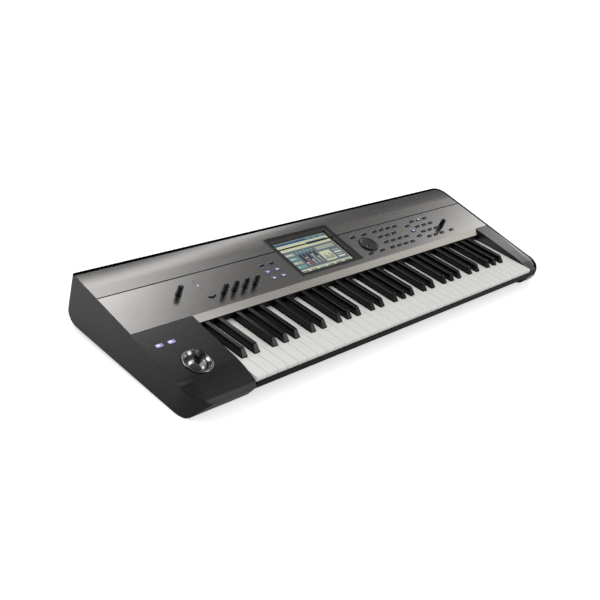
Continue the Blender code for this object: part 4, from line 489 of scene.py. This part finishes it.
def moulded(name, color, roughness, grain, grain_size, mottle, rounding, specular, coat, rough_spread):
    """Moulded plastic, rubber or paint: fine grain in the surface, soft mottling, varied roughness."""
    made = Finish(name)
    vector = made.place((1, 1, 1))
    fine = made.noise(vector, 1 / (grain_size * MM), 4.0)
    soft = made.noise(vector, MOTTLE_SCALE, 3.0)
    shade = made.ramp(soft, [(0.25, scaled(color, 1 - mottle)), (0.75, scaled(color, 1 + mottle))])
    made.link(shade, made.shader.inputs["Base Color"])
    rough = made.spread(fine, max(0.02, roughness - rough_spread), roughness + rough_spread)
    made.link(rough, made.shader.inputs["Roughness"])
    made.settle(Specular_IOR_Level=specular, Coat_Weight=coat, Coat_Roughness=COAT_ROUGHNESS)
    made.bump(fine, grain * MM, rounding * MM)
    # Painted sheen: the specular level follows the position, weaker at the front and stronger at the rear
    if name in PAINTED_SHEEN:
        span, levels = PAINTED_SHEEN[name]
        sheen = made.spread(made.axes("Object")["Y"], levels[0], levels[1], span)
        made.link(sheen, made.shader.inputs["Specular IOR Level"])
    return made.material


def brushed(name, color, roughness, grain):
    """Brushed metal: long fine scratches, broad cloudy variation and, on the rear sheet, the roll."""
    made = Finish(name)
    scratches = made.noise(made.place(grain), 1.0, 5.0, 0.65)
    clouds = made.noise(made.place(CLOUD_SCALE), 1.0, 4.0)
    mixed = made.node("ShaderNodeMix", data_type="RGBA", blend_type="MULTIPLY")
    mixed.inputs["Factor"].default_value = 1.0
    streaks = made.ramp(scratches, [(0.3, scaled(color, 0.86)), (0.7, scaled(color, 1.12))])
    made.link(streaks, mixed.inputs["A"])
    made.link(made.ramp(clouds, [(0.3, (0.93, 0.93, 0.93)), (0.7, (1.0, 1.0, 1.0))]), mixed.inputs["B"])
    made.link(mixed.outputs["Result"], made.shader.inputs["Base Color"])
    rough = made.spread(scratches, roughness - 0.03, roughness + 0.04)
    made.link(rough, made.shader.inputs["Roughness"])
    made.settle(Metallic=1.0)
    made.bump(scratches, SCRATCH_DEPTH, below=roll_down(made) if name == "rolled_aluminium" else None)
    return made.material


def roll_down(made):
    """The normal of a surface that rolls down towards the rear, ever steeper."""
    share = made.spread(made.axes("Object")["Y"], 0.0, 1.0, ROLL_SPAN)
    square = made.node("ShaderNodeMath", operation="POWER")
    square.inputs[1].default_value = 2.0
    made.link(share, square.inputs[0])
    fall = made.node("ShaderNodeBump", invert=True)
    fall.inputs["Strength"].default_value = 1.0
    reach = ROLL_SPAN[1] - ROLL_SPAN[0]
    fall.inputs["Distance"].default_value = math.tan(math.radians(ROLL_TILT)) * reach / 2
    made.link(square.outputs["Value"], fall.inputs["Height"])
    return fall.outputs["Normal"]


def glowing(name, color, strength, hot):
    """A lit lens: light coloured plastic with a brighter heart where the lamp sits behind one end."""
    made = Finish(name)
    offset = made.node("ShaderNodeVectorMath", operation="SUBTRACT")
    offset.inputs[1].default_value = LAMP_SPOT
    made.link(made.place((1, 1, 1), "Generated"), offset.inputs[0])
    length = made.node("ShaderNodeVectorMath", operation="LENGTH")
    made.link(offset.outputs["Vector"], length.inputs[0])
    grain = made.noise(made.place((1, 1, 1)), GLOW_GRAIN)
    glow = made.ramp(length.outputs["Value"], [(0.1, hot), (0.36, color), (0.9, scaled(color, 0.25))])
    made.link(glow, made.shader.inputs["Emission Color"])
    made.settle(Emission_Strength=strength, Base_Color=(*scaled(color, 0.35), 1))
    made.link(made.spread(grain, 0.2, 0.32), made.shader.inputs["Roughness"])
    made.bump(grain, 0.01 * MM)
    return made.material


def lit_print(name, color):
    """A patch of the lit screen, with the fine grid of its dots."""
    made = Finish("screen_" + name)
    dots = made.noise(made.place(DOT_SCALE), 1.0, 2.0)
    shade = made.ramp(dots, [(0.3, scaled(color, 0.9)), (0.7, scaled(color, 1.08))])
    made.link(shade, made.shader.inputs["Emission Color"])
    made.settle(Emission_Strength=SCREEN_LIGHT, Base_Color=(*scaled(color, 0.15), 1), Roughness=0.1)
    made.bump(dots, 0.002 * MM)
    return made.material


def make_materials():
    """Every finish of the tables, by name."""
    made = {}
    for make, table in ((moulded, MOULDED), (brushed, BRUSHED), (glowing, GLOWING)):
        for name, values in table.items():
            made[name] = make(name, *values)
    return made


MATERIAL = make_materials()


def dress_frame():
    """Gives each CAD node the finish of its slot, or its own where it has one."""
    for name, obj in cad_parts.items():
        for slot in obj.material_slots:
            base = slot.material.name.split(".")[0]
            slot.material = MATERIAL[OWN_FINISH.get(name, base)]


def piece(name, shape, materials, body, place=None, smooth=True, replaced=()):
    """A visible piece that rides on a body, from a bmesh in its own frame."""
    shape.normal_update()
    bmesh.ops.recalc_face_normals(shape, faces=shape.faces[:])
    mesh = bpy.data.meshes.new(name)
    shape.to_mesh(mesh)
    shape.free()
    for item in materials:
        mesh.materials.append(item)
    obj = bpy.data.objects.new(name, mesh)
    bpy.context.collection.objects.link(obj)
    if place is not None:
        obj.matrix_world = place
    if smooth:
        mesh.shade_smooth()
        mesh.set_sharp_from_angle(angle=SMOOTH_ANGLE)
    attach(obj, body)
    if replaced:
        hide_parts(*replaced)
    return obj


def add_block(shape, outline, low, high, index=0):
    """Adds a closed block over an outline of four plan points, from one height to another."""
    verts = [shape.verts.new((x, y, z)) for z in (low, high) for x, y in outline]
    for ring in ((3, 2, 1, 0), (4, 5, 6, 7), (0, 1, 5, 4), (1, 2, 6, 5), (2, 3, 7, 6), (3, 0, 4, 7)):
        face = shape.faces.new([verts[i] for i in ring])
        face.material_index = index


def add_box(shape, low, high, index=0):
    """Adds a closed box between two opposite corners, with a material index."""
    outline = ((low[0], low[1]), (high[0], low[1]), (high[0], high[1]), (low[0], high[1]))
    add_block(shape, outline, low[2], high[2], index)


def add_lathe(shape, profile, sides, centre=(0, 0), radius_at=None, face_index=None):
    """Adds a turned solid from (radius, z) points; the last two may shape its sides and mark its faces."""
    rings = []
    for radius, z in profile:
        if radius == 0:
            rings.append([shape.verts.new((centre[0], centre[1], z))] * sides)
            continue
        ring = []
        for k in range(sides):
            turn = 2 * math.pi * k / sides
            r = radius_at(radius, z, turn) if radius_at else radius
            point = (centre[0] + r * math.cos(turn), centre[1] + r * math.sin(turn), z)
            ring.append(shape.verts.new(point))
        rings.append(ring)
    for level, (near, far) in enumerate(zip(rings, rings[1:])):
        for i in range(sides):
            j = (i + 1) % sides
            corners = []
            for vertex in (near[i], near[j], far[j], far[i]):
                if vertex not in corners:
                    corners.append(vertex)
            if len(corners) > 2:
                face = shape.faces.new(corners)
                face.material_index = face_index(level, i) if face_index else 0


def add_loft(shape, outlines):
    """Adds a closed skin through outlines of equally many points, with a cap at each end."""
    rings = [[shape.verts.new(point) for point in outline] for outline in outlines]
    for near, far in zip(rings, rings[1:]):
        for i in range(len(near)):
            j = (i + 1) % len(near)
            shape.faces.new((near[i], near[j], far[j], far[i]))
    shape.faces.new(rings[0][::-1])
    shape.faces.new(rings[-1])


def rounded_rectangle(half_x, half_y, radius, steps):
    """Points round a rectangle with rounded corners, centred on the origin."""
    points = []
    for quarter, (sx, sy) in enumerate(((1, 1), (-1, 1), (-1, -1), (1, -1))):
        for k in range(steps + 1):
            turn = math.pi / 2 * (quarter + k / steps)
            points.append((sx * (half_x - radius) + radius * math.cos(turn),
                           sy * (half_y - radius) + radius * math.sin(turn)))
    return points


def add_cap(shape, x, v, size, foot, proud):
    """A pillow-topped button cap; its rings draw in and round over towards the top."""
    rings = []
    for level, inset in CAP_SECTIONS:
        z = foot + (proud - foot) * level
        shrink = inset * MM - CAP_COVER
        outline = rounded_rectangle(size[0] / 2 - shrink, size[1] / 2 - shrink, CAP_CORNER,
                                    CAP_CORNER_STEPS)
        rings.append([(x + a, v + b, z) for a, b in outline])
    add_loft(shape, rings)


def button_groups():
    """Plan places of the panel's buttons, by the body that they belong to."""
    bank = [(x, y) for y in ROW_Y for x in BANK_X]
    bank.remove((BANK_X[-1], ROW_Y[-2]))
    sequencer = [(x, y) for y in ROW_Y[:-1] for x in SEQUENCER_X]
    sequencer += [(SEQUENCER_X[0], ROW_Y[-1])]
    sequencer += [(SEQUENCER_X[1] + REAR_ROW_SHIFT, ROW_Y[-1])]
    sequencer += [(SEQUENCER_X[2], ROW_Y[-1])]
    sequencer += [(SIDE_X, y) for y in BETWEEN_ROWS_Y]
    sequencer += [(TAP_X, ROW_Y[0])]
    return {
        "left_buttons": [(x, y) for y in BETWEEN_ROWS_Y for x in LEFT_X],
        "dial_buttons": [(x, y) for y in (ROW_Y[0], ROW_Y[-1]) for x in DIAL_BUTTON_X],
        "bank_buttons": bank,
        "sequencer_buttons": sequencer,
    }


def build_buttons():
    """Rounded caps over every panel button, and the glowing lenses of the lit buttons and switches."""
    for body, places in button_groups().items():
        shape = bmesh.new()
        for x, y in places:
            add_cap(shape, x, along(y), BUTTON, BUTTON_FOOT, BUTTON_PROUD + CAP_COVER)
        piece(body + "_caps", shape, [MATERIAL["button_grey"]], body, panel_frame(0, 0))
        for i, lit in enumerate(LIT_BUTTONS.get(body, ())):
            lens = bmesh.new()
            add_cap(lens, 0, 0, LENS, LENS_FOOT, BUTTON_PROUD + CAP_COVER + LENS_PROUD)
            piece(f"{body}_lens_{i + 1}", lens, [MATERIAL["lit_violet"]], body, panel_frame(*places[lit]))
    for i, x in enumerate(SWITCH_X):
        lens = bmesh.new()
        add_cap(lens, 0, 0, SWITCH_LENS, *SWITCH_LENS_Z)
        piece(f"assign_lens_{i + 1}", lens, [MATERIAL["lit_violet"]], f"assign_switch_{i + 1}",
              pad_frame(x, SWITCH_Y))


def ribbed(radius, z, turn):
    """A knob's radius at a height and angle: ribs that fade out at both ends of the grip."""
    foot = min(1.0, max(0.0, (z / MM - RIB_SPAN[0]) / RIB_FADE))
    head = min(1.0, max(0.0, (RIB_SPAN[1] - z / MM) / RIB_FADE))
    wave = 0.5 + 0.5 * math.cos(RIBS * turn)
    return radius - RIB_DEPTH * foot * head * wave ** 2


def pointer(level, side):
    """Marks the faces of a knob's pointer, which looks to the rear at rest."""
    ahead = KNOB_SIDES // 4
    near = -POINTER_HALF <= side - ahead < POINTER_HALF
    return 1 if near and level >= POINTER_FROM else 0


def build_knobs():
    """Tall ribbed knobs with a pale pointer over the crown and down the side."""
    for name, (x, y) in KNOBS.items():
        shape = bmesh.new()
        add_lathe(shape, in_metres(KNOB_PROFILE), KNOB_SIDES, radius_at=ribbed, face_index=pointer)
        piece(name + "_shell", shape, [MATERIAL["knob_black"], MATERIAL["knob_pointer"]], name,
              panel_frame(x, y), replaced=(name,))


def dial_height(x, y):
    """Height of the dial's top in millimetres: raised rim, shallow dish and the finger dimple."""
    radius = math.hypot(x, y)
    if radius > DIAL_RIM[1]:
        height = DIAL_TOP - (radius - DIAL_RIM[1]) / DIAL_BREAK
    elif radius > DIAL_RIM[0]:
        height = DIAL_TOP
    elif radius > DISH_RADIUS:
        height = DIAL_TOP - (DIAL_TOP - DISH_TOP) * (DIAL_RIM[0] - radius) / (DIAL_RIM[0] - DISH_RADIUS)
    else:
        height = DISH_TOP - DISH_SAG * (1 - radius / DISH_RADIUS)
    reach = math.hypot(x - DIMPLE[0], y - DIMPLE[1]) / DIMPLE_RADIUS
    if reach < 1:
        height -= DIMPLE_DEPTH * (1 - reach ** 2) ** DIMPLE_POWER
    return height


def build_dial():
    """Value dial: knurled edge, dished face and a finger dimple."""
    turns = [2 * math.pi * k / DIAL_SIDES for k in range(DIAL_SIDES)]
    rings = []
    for radius, z in DIAL_SIDE:
        ring = []
        for k, turn in enumerate(turns):
            r = (radius - (KNURL_DEPTH if k % 2 and z > KNURL_FROM else 0.0)) * MM
            ring.append((r * math.cos(turn), r * math.sin(turn), z * MM))
        rings.append(ring)
    for radius in DIAL_RINGS:
        plan = [(radius * math.cos(turn), radius * math.sin(turn)) for turn in turns]
        rings.append([(x * MM, y * MM, dial_height(x, y) * MM) for x, y in plan])
    shape = bmesh.new()
    add_loft(shape, rings)
    piece("value_dial_wheel", shape, [MATERIAL["dial_black"]], "value_dial", panel_frame(*DIAL),
          replaced=("value_dial",))


def arc(centre, radius, start, end, steps):
    """Points of an arc in the (radius, z) plane, angles in degrees."""
    points = []
    for k in range(steps + 1):
        turn = math.radians(start + (end - start) * k / steps)
        points.append((centre[0] + radius * math.cos(turn), centre[1] + radius * math.sin(turn)))
    return points


def dome_arc(radius, degrees):
    """Points of the stick's dome by angle from its crown."""
    return [(radius * math.sin(math.radians(t)), radius * math.cos(math.radians(t))) for t in degrees]


def build_joystick():
    """Polished ring, domed stick and its waisted thumb grip."""
    place = pad_frame(*JOYSTICK)
    crest = [point for values in RING_CREST for point in arc(*values)]
    shape = bmesh.new()
    add_lathe(shape, in_metres(RING_OUTSIDE + crest + RING_INSIDE), JOYSTICK_SIDES)
    piece("joystick_bezel_ring", shape, [MATERIAL["dark_chrome"]], "case", place,
          replaced=("joystick_ring",))

    pivot = place @ Matrix.Translation((0, 0, -JOYSTICK_PIVOT))
    dome = dome_arc(DOME_RADIUS, DOME_ANGLES[0]) + dome_arc(DOME_INSIDE, DOME_ANGLES[1])
    shape = bmesh.new()
    add_lathe(shape, in_metres(dome + STEM), JOYSTICK_SIDES)
    piece("joystick_dome", shape, [MATERIAL["dark_chrome"]], "joystick_stick", pivot,
          replaced=("joystick_stick",))

    rings = []
    for level, width, length in GRIP_SECTIONS:
        outline = rounded_rectangle(width / 2 * MM, length / 2 * MM, width * GRIP_CORNER * MM,
                                    GRIP_CORNER_STEPS)
        rings.append([(a, b, (DOME_RADIUS + level) * MM) for a, b in outline])
    shape = bmesh.new()
    add_loft(shape, rings)
    piece("joystick_grip", shape, [MATERIAL["joystick_gloss"]], "joystick_stick", pivot)


def build_lamps():
    """Small indicator lamps behind the select button, one of them lit."""
    for i, (x, y, on) in enumerate(LED_PLACES):
        shape = bmesh.new()
        add_lathe(shape, in_metres(LED_PROFILE), LED_SIDES)
        finish = MATERIAL["lamp_white" if on else "lamp_clear"]
        piece(f"lamp_{i + 1}", shape, [finish], "case", panel_frame(x * MM, y * MM))


def add_stroke(shape, x, y, length, width, turn=0.0):
    """A printed stroke on the panel, centred on a plan point and turned in the panel's plane."""
    c, s = math.cos(turn), math.sin(turn)
    outline = []
    for a, b in ((-1, -1), (1, -1), (1, 1), (-1, 1)):
        u, w = a * length / 2, b * width / 2
        outline.append((x + u * c - w * s, along(y) + u * s + w * c))
    add_block(shape, outline, MARK_FOOT, MARK_HEIGHT)


def build_marks():
    """Plain printed strokes: ticks round the knobs, strokes over the buttons, rules behind the groups."""
    shape = bmesh.new()
    for x, y in KNOBS.values():
        for k, angle in enumerate(TICK_ANGLES):
            turn = math.radians(angle)
            reach, length = TICK_SHORT if k % 5 else TICK_LONG
            centre = (x + reach * math.cos(turn), y + reach * math.sin(turn))
            add_stroke(shape, *centre, length, TICK_WIDTH, turn)
    for places in button_groups().values():
        for i, (x, y) in enumerate(places):
            length = STROKE_LENGTHS[(i * 7) % 3]
            add_stroke(shape, x + STROKE_SHIFT[0], y + STROKE_SHIFT[1], length, STROKE_WIDTH)
    piece("panel_print", shape, [MATERIAL["print_pale"]], "case", panel_frame(0, 0), smooth=False)
    shape = bmesh.new()
    for x, y, length in RULES:
        add_stroke(shape, x, y, length, RULE_WIDTH)
    piece("panel_rules", shape, [MATERIAL["print_dark"]], "case", panel_frame(0, 0), smooth=False)


def build_screen():
    """The screen's picture: a made-up mixer page of strips, faders, meters and a curve."""
    names = list(SCREEN_COLORS)
    colors = [lit_print(name, SCREEN_COLORS[name]) for name in names]
    width = WINDOW_X[1] - WINDOW_X[0]
    height = along(WINDOW_Y[1]) - along(WINDOW_Y[0])
    shape = bmesh.new()

    def patch(color, left, low, right, high, layer):
        """A patch of the picture; its edges are shares of the window."""
        x0, x1 = WINDOW_X[0] + left * width, WINDOW_X[0] + right * width
        v0, v1 = along(WINDOW_Y[0]) + low * height, along(WINDOW_Y[0]) + high * height
        top = SCREEN_DROP + PATCH_TOP + PATCH_LAYER * layer
        add_box(shape, (x0, v0, SCREEN_DROP + PATCH_BASE), (x1, v1, top), names.index(color))

    patch("back", 0.01, 0.01, 0.99, 0.99, 0)
    patch("strip", 0.02, 0.91, 0.98, 0.98, 1)
    for k in range(3):
        patch("teal", 0.62 + 0.12 * k, 0.93, 0.71 + 0.12 * k, 0.965, 2)
    patch("bar", 0.02, 0.72, 0.98, 0.90, 1)
    for k in range(7):
        patch("ink", 0.05 + 0.06 * k, 0.79, 0.09 + 0.06 * k, 0.83, 2)
    patch("slate", 0.56, 0.77, 0.95, 0.85, 2)
    patch("slate", 0.02, 0.12, 0.98, 0.70, 1)
    for k in range(4):
        low = 0.16 + 0.13 * k
        patch("bar_dim" if k % 2 else "teal", 0.04, low, 0.20, low + 0.09, 2)
        patch("white", 0.055, low + 0.035, 0.09 + 0.025 * k, low + 0.055, 3)
    for k in range(5):
        left = 0.24 + 0.065 * k
        level = 0.26 + 0.05 * ((k * 3) % 5)
        patch("ink", left, 0.17, left + 0.04, 0.55, 2)
        patch("rust" if k == 1 else "bar_dim", left + 0.008, 0.18, left + 0.032, level, 3)
        patch("white", left + 0.004, level, left + 0.036, level + 0.02, 4)
        patch("teal", left, 0.59, left + 0.04, 0.65, 2)
    patch("bar", 0.58, 0.17, 0.78, 0.48, 2)
    for k in range(6):
        patch("slate", 0.60 + 0.028 * k, 0.21, 0.617 + 0.028 * k, 0.27 + 0.03 * ((k * 4) % 6), 3)
    patch("bar_dim", 0.60, 0.54, 0.95, 0.65, 2)
    for k in range(4):
        patch("bar_dim" if k % 2 else "white", 0.82, 0.19 + 0.075 * k, 0.95, 0.23 + 0.075 * k, 2)
    patch("bar", 0.02, 0.02, 0.98, 0.10, 1)
    for k in range(6):
        left = 0.03 + 0.16 * k
        patch("slate" if k != 2 else "teal", left + 0.01, 0.045, left + 0.12, 0.075, 2)
    piece("screen_picture", shape, colors, "case", panel_frame(0, 0), smooth=False)


def build_groove_shade():
    """Painted shade: a black strip laid in the groove between the two sheets, where the groove lies in
    shade.
    """
    shape = bmesh.new()
    v = along(GROOVE_Y)
    add_box(shape, (-GROOVE_SHADE_HALF_LENGTH, v - GROOVE_SHADE_HALF_WIDTH, GROOVE_SHADE_Z[0]),
            (GROOVE_SHADE_HALF_LENGTH, v + GROOVE_SHADE_HALF_WIDTH, GROOVE_SHADE_Z[1]))
    piece("groove_painted_shade", shape, [MATERIAL["black_seam"]], "case", panel_frame(0, 0), smooth=False)


def corner(centre_x, centre_y, radius, start):
    """Plan points and outward directions round a quarter corner."""
    points = []
    for k in range(CORNER_STEPS + 1):
        turn = math.radians(start + 90 * k / CORNER_STEPS)
        points.append((centre_x + radius * math.cos(turn), centre_y + radius * math.sin(turn),
                       math.cos(turn), math.sin(turn)))
    return points


def surface_height(x, y):
    """Height of the case's top surface over a plan point, or None beside the case."""
    best = None
    for name in TOP_NODES:
        hit, spot, _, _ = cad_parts[name].ray_cast(Vector((x, y, OVERHEAD)), Vector((0, 0, -1)))
        if hit and (best is None or spot.z > best):
            best = spot.z
    return best


def bead_path():
    """Plan points and outward directions from the treble end's front corner to the bass end's rear one."""
    inset = BEAD[0] + BEAD_MARGIN
    front = corner(HALF_WIDTH - FRONT_CORNER, -HALF_DEPTH + FRONT_CORNER, FRONT_CORNER - inset, BEAD_START)
    path = front[:BEAD_START_POINTS]
    run = 2 * HALF_DEPTH - FRONT_CORNER - REAR_CORNER_RIGHT
    for k in range(1, BEAD_STRAIGHT_STEPS):
        y = -HALF_DEPTH + FRONT_CORNER + run * k / BEAD_STRAIGHT_STEPS
        path.append((HALF_WIDTH - inset, y, 1.0, 0.0))
    for side, radius, start in ((1, REAR_CORNER_RIGHT, 0), (-1, REAR_CORNER_LEFT, 90)):
        path += corner(side * (HALF_WIDTH - radius), HALF_DEPTH - radius, radius - inset, start)
    return path


def build_edge_bead():
    """Thin black bead round the treble end's outer edge and along the rear edge, laid on the surface."""
    rings = []
    last = 0.0
    for x, y, out_x, out_y in bead_path():
        height = surface_height(x, y)
        if height is None or height < BEAD_LEAST_HEIGHT:
            height = last
        last = height
        ring = []
        for k in range(BEAD_SIDES):
            turn = 2 * math.pi * k / BEAD_SIDES
            reach = BEAD[0] * math.cos(turn)
            place = (x + reach * out_x, y + reach * out_y)
            under = surface_height(*place) or height
            if abs(under - height) > BEAD_MOST_STEP:
                under = height
            ring.append((*place, under + BEAD[1] * math.sin(turn)))
        rings.append(ring)
    shape = bmesh.new()
    add_loft(shape, rings)
    piece("edge_bead", shape, [MATERIAL["black_seam"]], "case")


def add_screw(shape, centre, radius, height):
    """A pan-head screw with its foot under z = 0; its head's points are shares of its radius and height."""
    profile = [(0, SCREW_FOOT), (radius, SCREW_FOOT)]
    profile += [(radius * wide, height * high) for wide, high in SCREW_HEAD]
    add_lathe(shape, profile, SCREW_SIDES, centre)


def build_rear_details():
    """Collars of the audio sockets, pins of the data sockets and the screws of the rear wall and floor."""
    shape = bmesh.new()
    for x in JACK_X:
        add_lathe(shape, in_metres(COLLAR_PROFILE), COLLAR_SIDES, (x, 0))
    bmesh.ops.remove_doubles(shape, verts=shape.verts[:], dist=COLLAR_WELD)
    piece("jack_collars", shape, [MATERIAL["nickel"]], "case", rear_frame(COLLAR_OUT))
    shape = bmesh.new()
    for x in DATA_SOCKET_X:
        for angle in PIN_ANGLES:
            turn = math.radians(angle)
            centre = (x + PIN_CIRCLE * math.cos(turn), -PIN_CIRCLE * math.sin(turn))
            add_lathe(shape, in_metres(PIN_PROFILE), PIN_SIDES, centre)
    piece("data_pins", shape, [MATERIAL["nickel"]], "case", rear_frame())
    shape = bmesh.new()
    for x in REAR_SCREWS_X:
        for z in REAR_SCREWS_Z:
            add_screw(shape, (x * MM, -(z * MM - REAR_SOCKET_Z)), *REAR_SCREW)
    piece("rear_screws", shape, [MATERIAL["black_zinc"]], "case", rear_frame(REAR_SCREW_OUT))
    shape = bmesh.new()
    for x in FLOOR_SCREWS_X:
        for y in FLOOR_SCREWS_Y:
            add_screw(shape, (x * MM, -y * MM), *FLOOR_SCREW)
    piece("floor_screws", shape, [MATERIAL["black_zinc"]], "case",
          Matrix.Translation((0, 0, UNDERSIDE_Z)) @ Matrix.Rotation(math.pi, 4, "X"))


def add_floor():
    """Plain pale floor, lifted towards white for the camera alone, keeping the shadow."""
    shape = bmesh.new()
    shape.faces.new([shape.verts.new((sx * FLOOR_HALF, sy * FLOOR_HALF, 0))
                     for sx, sy in ((-1, -1), (1, -1), (1, 1), (-1, 1))])
    mesh = bpy.data.meshes.new("floor")
    shape.to_mesh(mesh)
    shape.free()
    floor = bpy.data.objects.new("floor", mesh)
    bpy.context.collection.objects.link(floor)
    made = Finish("pale_floor")
    made.settle(Base_Color=(*FLOOR_COLOR, 1), Roughness=0.9, Specular_IOR_Level=0.0)
    gain = made.node("ShaderNodeMath", operation="MULTIPLY")
    gain.inputs[1].default_value = FLOOR_LIFT
    made.link(made.node("ShaderNodeLightPath").outputs["Is Camera Ray"], gain.inputs[0])
    glow = made.node("ShaderNodeEmission")
    made.link(gain.outputs["Value"], glow.inputs["Strength"])
    total = made.node("ShaderNodeAddShader")
    made.link(made.shader.outputs["BSDF"], total.inputs[0])
    made.link(glow.outputs["Emission"], total.inputs[1])
    made.link(total.outputs["Shader"], made.tree.nodes["Material Output"].inputs["Surface"])
    mesh.materials.append(made.material)


def room_ramp(room, share, stops):
    """A ramp round the compass, as shares of the room's peak brightness."""
    colors = []
    for angle, value in stops:
        tint = WARM_TINT if WARM_WALL[0] <= angle <= WARM_WALL[1] else NO_TINT
        colors.append(((angle + 180) / 360, [channel * value / ROOM_PEAK for channel in tint]))
    return room.ramp(share, colors)


def room_level(room, height, angles):
    """A blend from what lies below to what lies above a soft edge, its angles in degrees over the floor."""
    edge = [math.sin(math.radians(angle)) for angle in angles]
    blend = room.node("ShaderNodeMix", data_type="RGBA")
    room.link(room.spread(height, 0.0, 1.0, edge, "SMOOTHSTEP"), blend.inputs["Factor"])
    return blend


def background(room, color, strength):
    """A plain light from all around."""
    made = room.node("ShaderNodeBackground")
    made.inputs["Color"].default_value = (*color, 1)
    made.inputs["Strength"].default_value = strength
    return made


def chosen(room, share, first, second):
    """The second light where the share is one, else the first."""
    made = room.node("ShaderNodeMixShader")
    room.link(share, made.inputs["Fac"])
    room.link(first, made.inputs[1])
    room.link(second, made.inputs[2])
    return made.outputs["Shader"]


def add_world():
    """Soft room: even light for surfaces, white behind the object, broad pale walls in the gloss."""
    world = bpy.data.worlds.new("studio")
    bpy.context.scene.world = world
    world.use_nodes = True
    world.node_tree.nodes.clear()
    room = Nodes(world.node_tree)
    way = room.axes("Generated")
    compass = room.node("ShaderNodeMath", operation="ARCTAN2")
    room.link(way["Y"], compass.inputs[0])
    room.link(way["X"], compass.inputs[1])
    share = room.spread(compass.outputs["Value"], 0.0, 1.0, (-math.pi, math.pi))
    walls = room_level(room, way["Z"], HORIZON)
    room.link(room_ramp(room, share, ROOM_LOW), walls.inputs["A"])
    room.link(room_ramp(room, share, ROOM_HIGH), walls.inputs["B"])
    ceiling = room_level(room, way["Z"], CEILING)
    room.link(walls.outputs["Result"], ceiling.inputs["A"])
    ceiling.inputs["B"].default_value = (*[ROOM_TOP / ROOM_PEAK] * 3, 1)
    gloss = background(room, NO_TINT, ROOM_PEAK)
    room.link(ceiling.outputs["Result"], gloss.inputs["Color"])
    soft = background(room, WORLD_COLOR, WORLD_LIGHT).outputs["Background"]
    white = background(room, NO_TINT, 1.0).outputs["Background"]
    path = room.node("ShaderNodeLightPath")
    seen = room.node("ShaderNodeMath", operation="MAXIMUM")
    room.link(path.outputs["Is Camera Ray"], seen.inputs[0])
    room.link(path.outputs["Is Transmission Ray"], seen.inputs[1])
    around = chosen(room, path.outputs["Is Glossy Ray"], soft, gloss.outputs["Background"])
    light = chosen(room, seen.outputs["Value"], around, white)
    room.link(light, room.node("ShaderNodeOutputWorld").inputs["Surface"])


def add_lamps():
    """Two broad lamps that the camera does not see."""
    for name, place, size, watts in LAMPS:
        data = bpy.data.lights.new(name, "AREA")
        data.shape = "SQUARE"
        data.size = size
        data.energy = watts
        lamp = bpy.data.objects.new(name, data)
        lamp.location = place
        lamp.rotation_euler = (LAMP_AIM - Vector(place)).to_track_quat("-Z", "Y").to_euler()
        lamp.visible_camera = False
        bpy.context.collection.objects.link(lamp)


add_camera()
add_floor()
add_world()
add_lamps()
dress_frame()
build_buttons()
build_knobs()
build_dial()
build_joystick()
build_lamps()
build_marks()
build_screen()
# Painted shade: the black strip in the groove between the sheets
build_groove_shade()
build_edge_bead()
build_rear_details()

bpy.context.scene.view_settings.view_transform = "Standard"
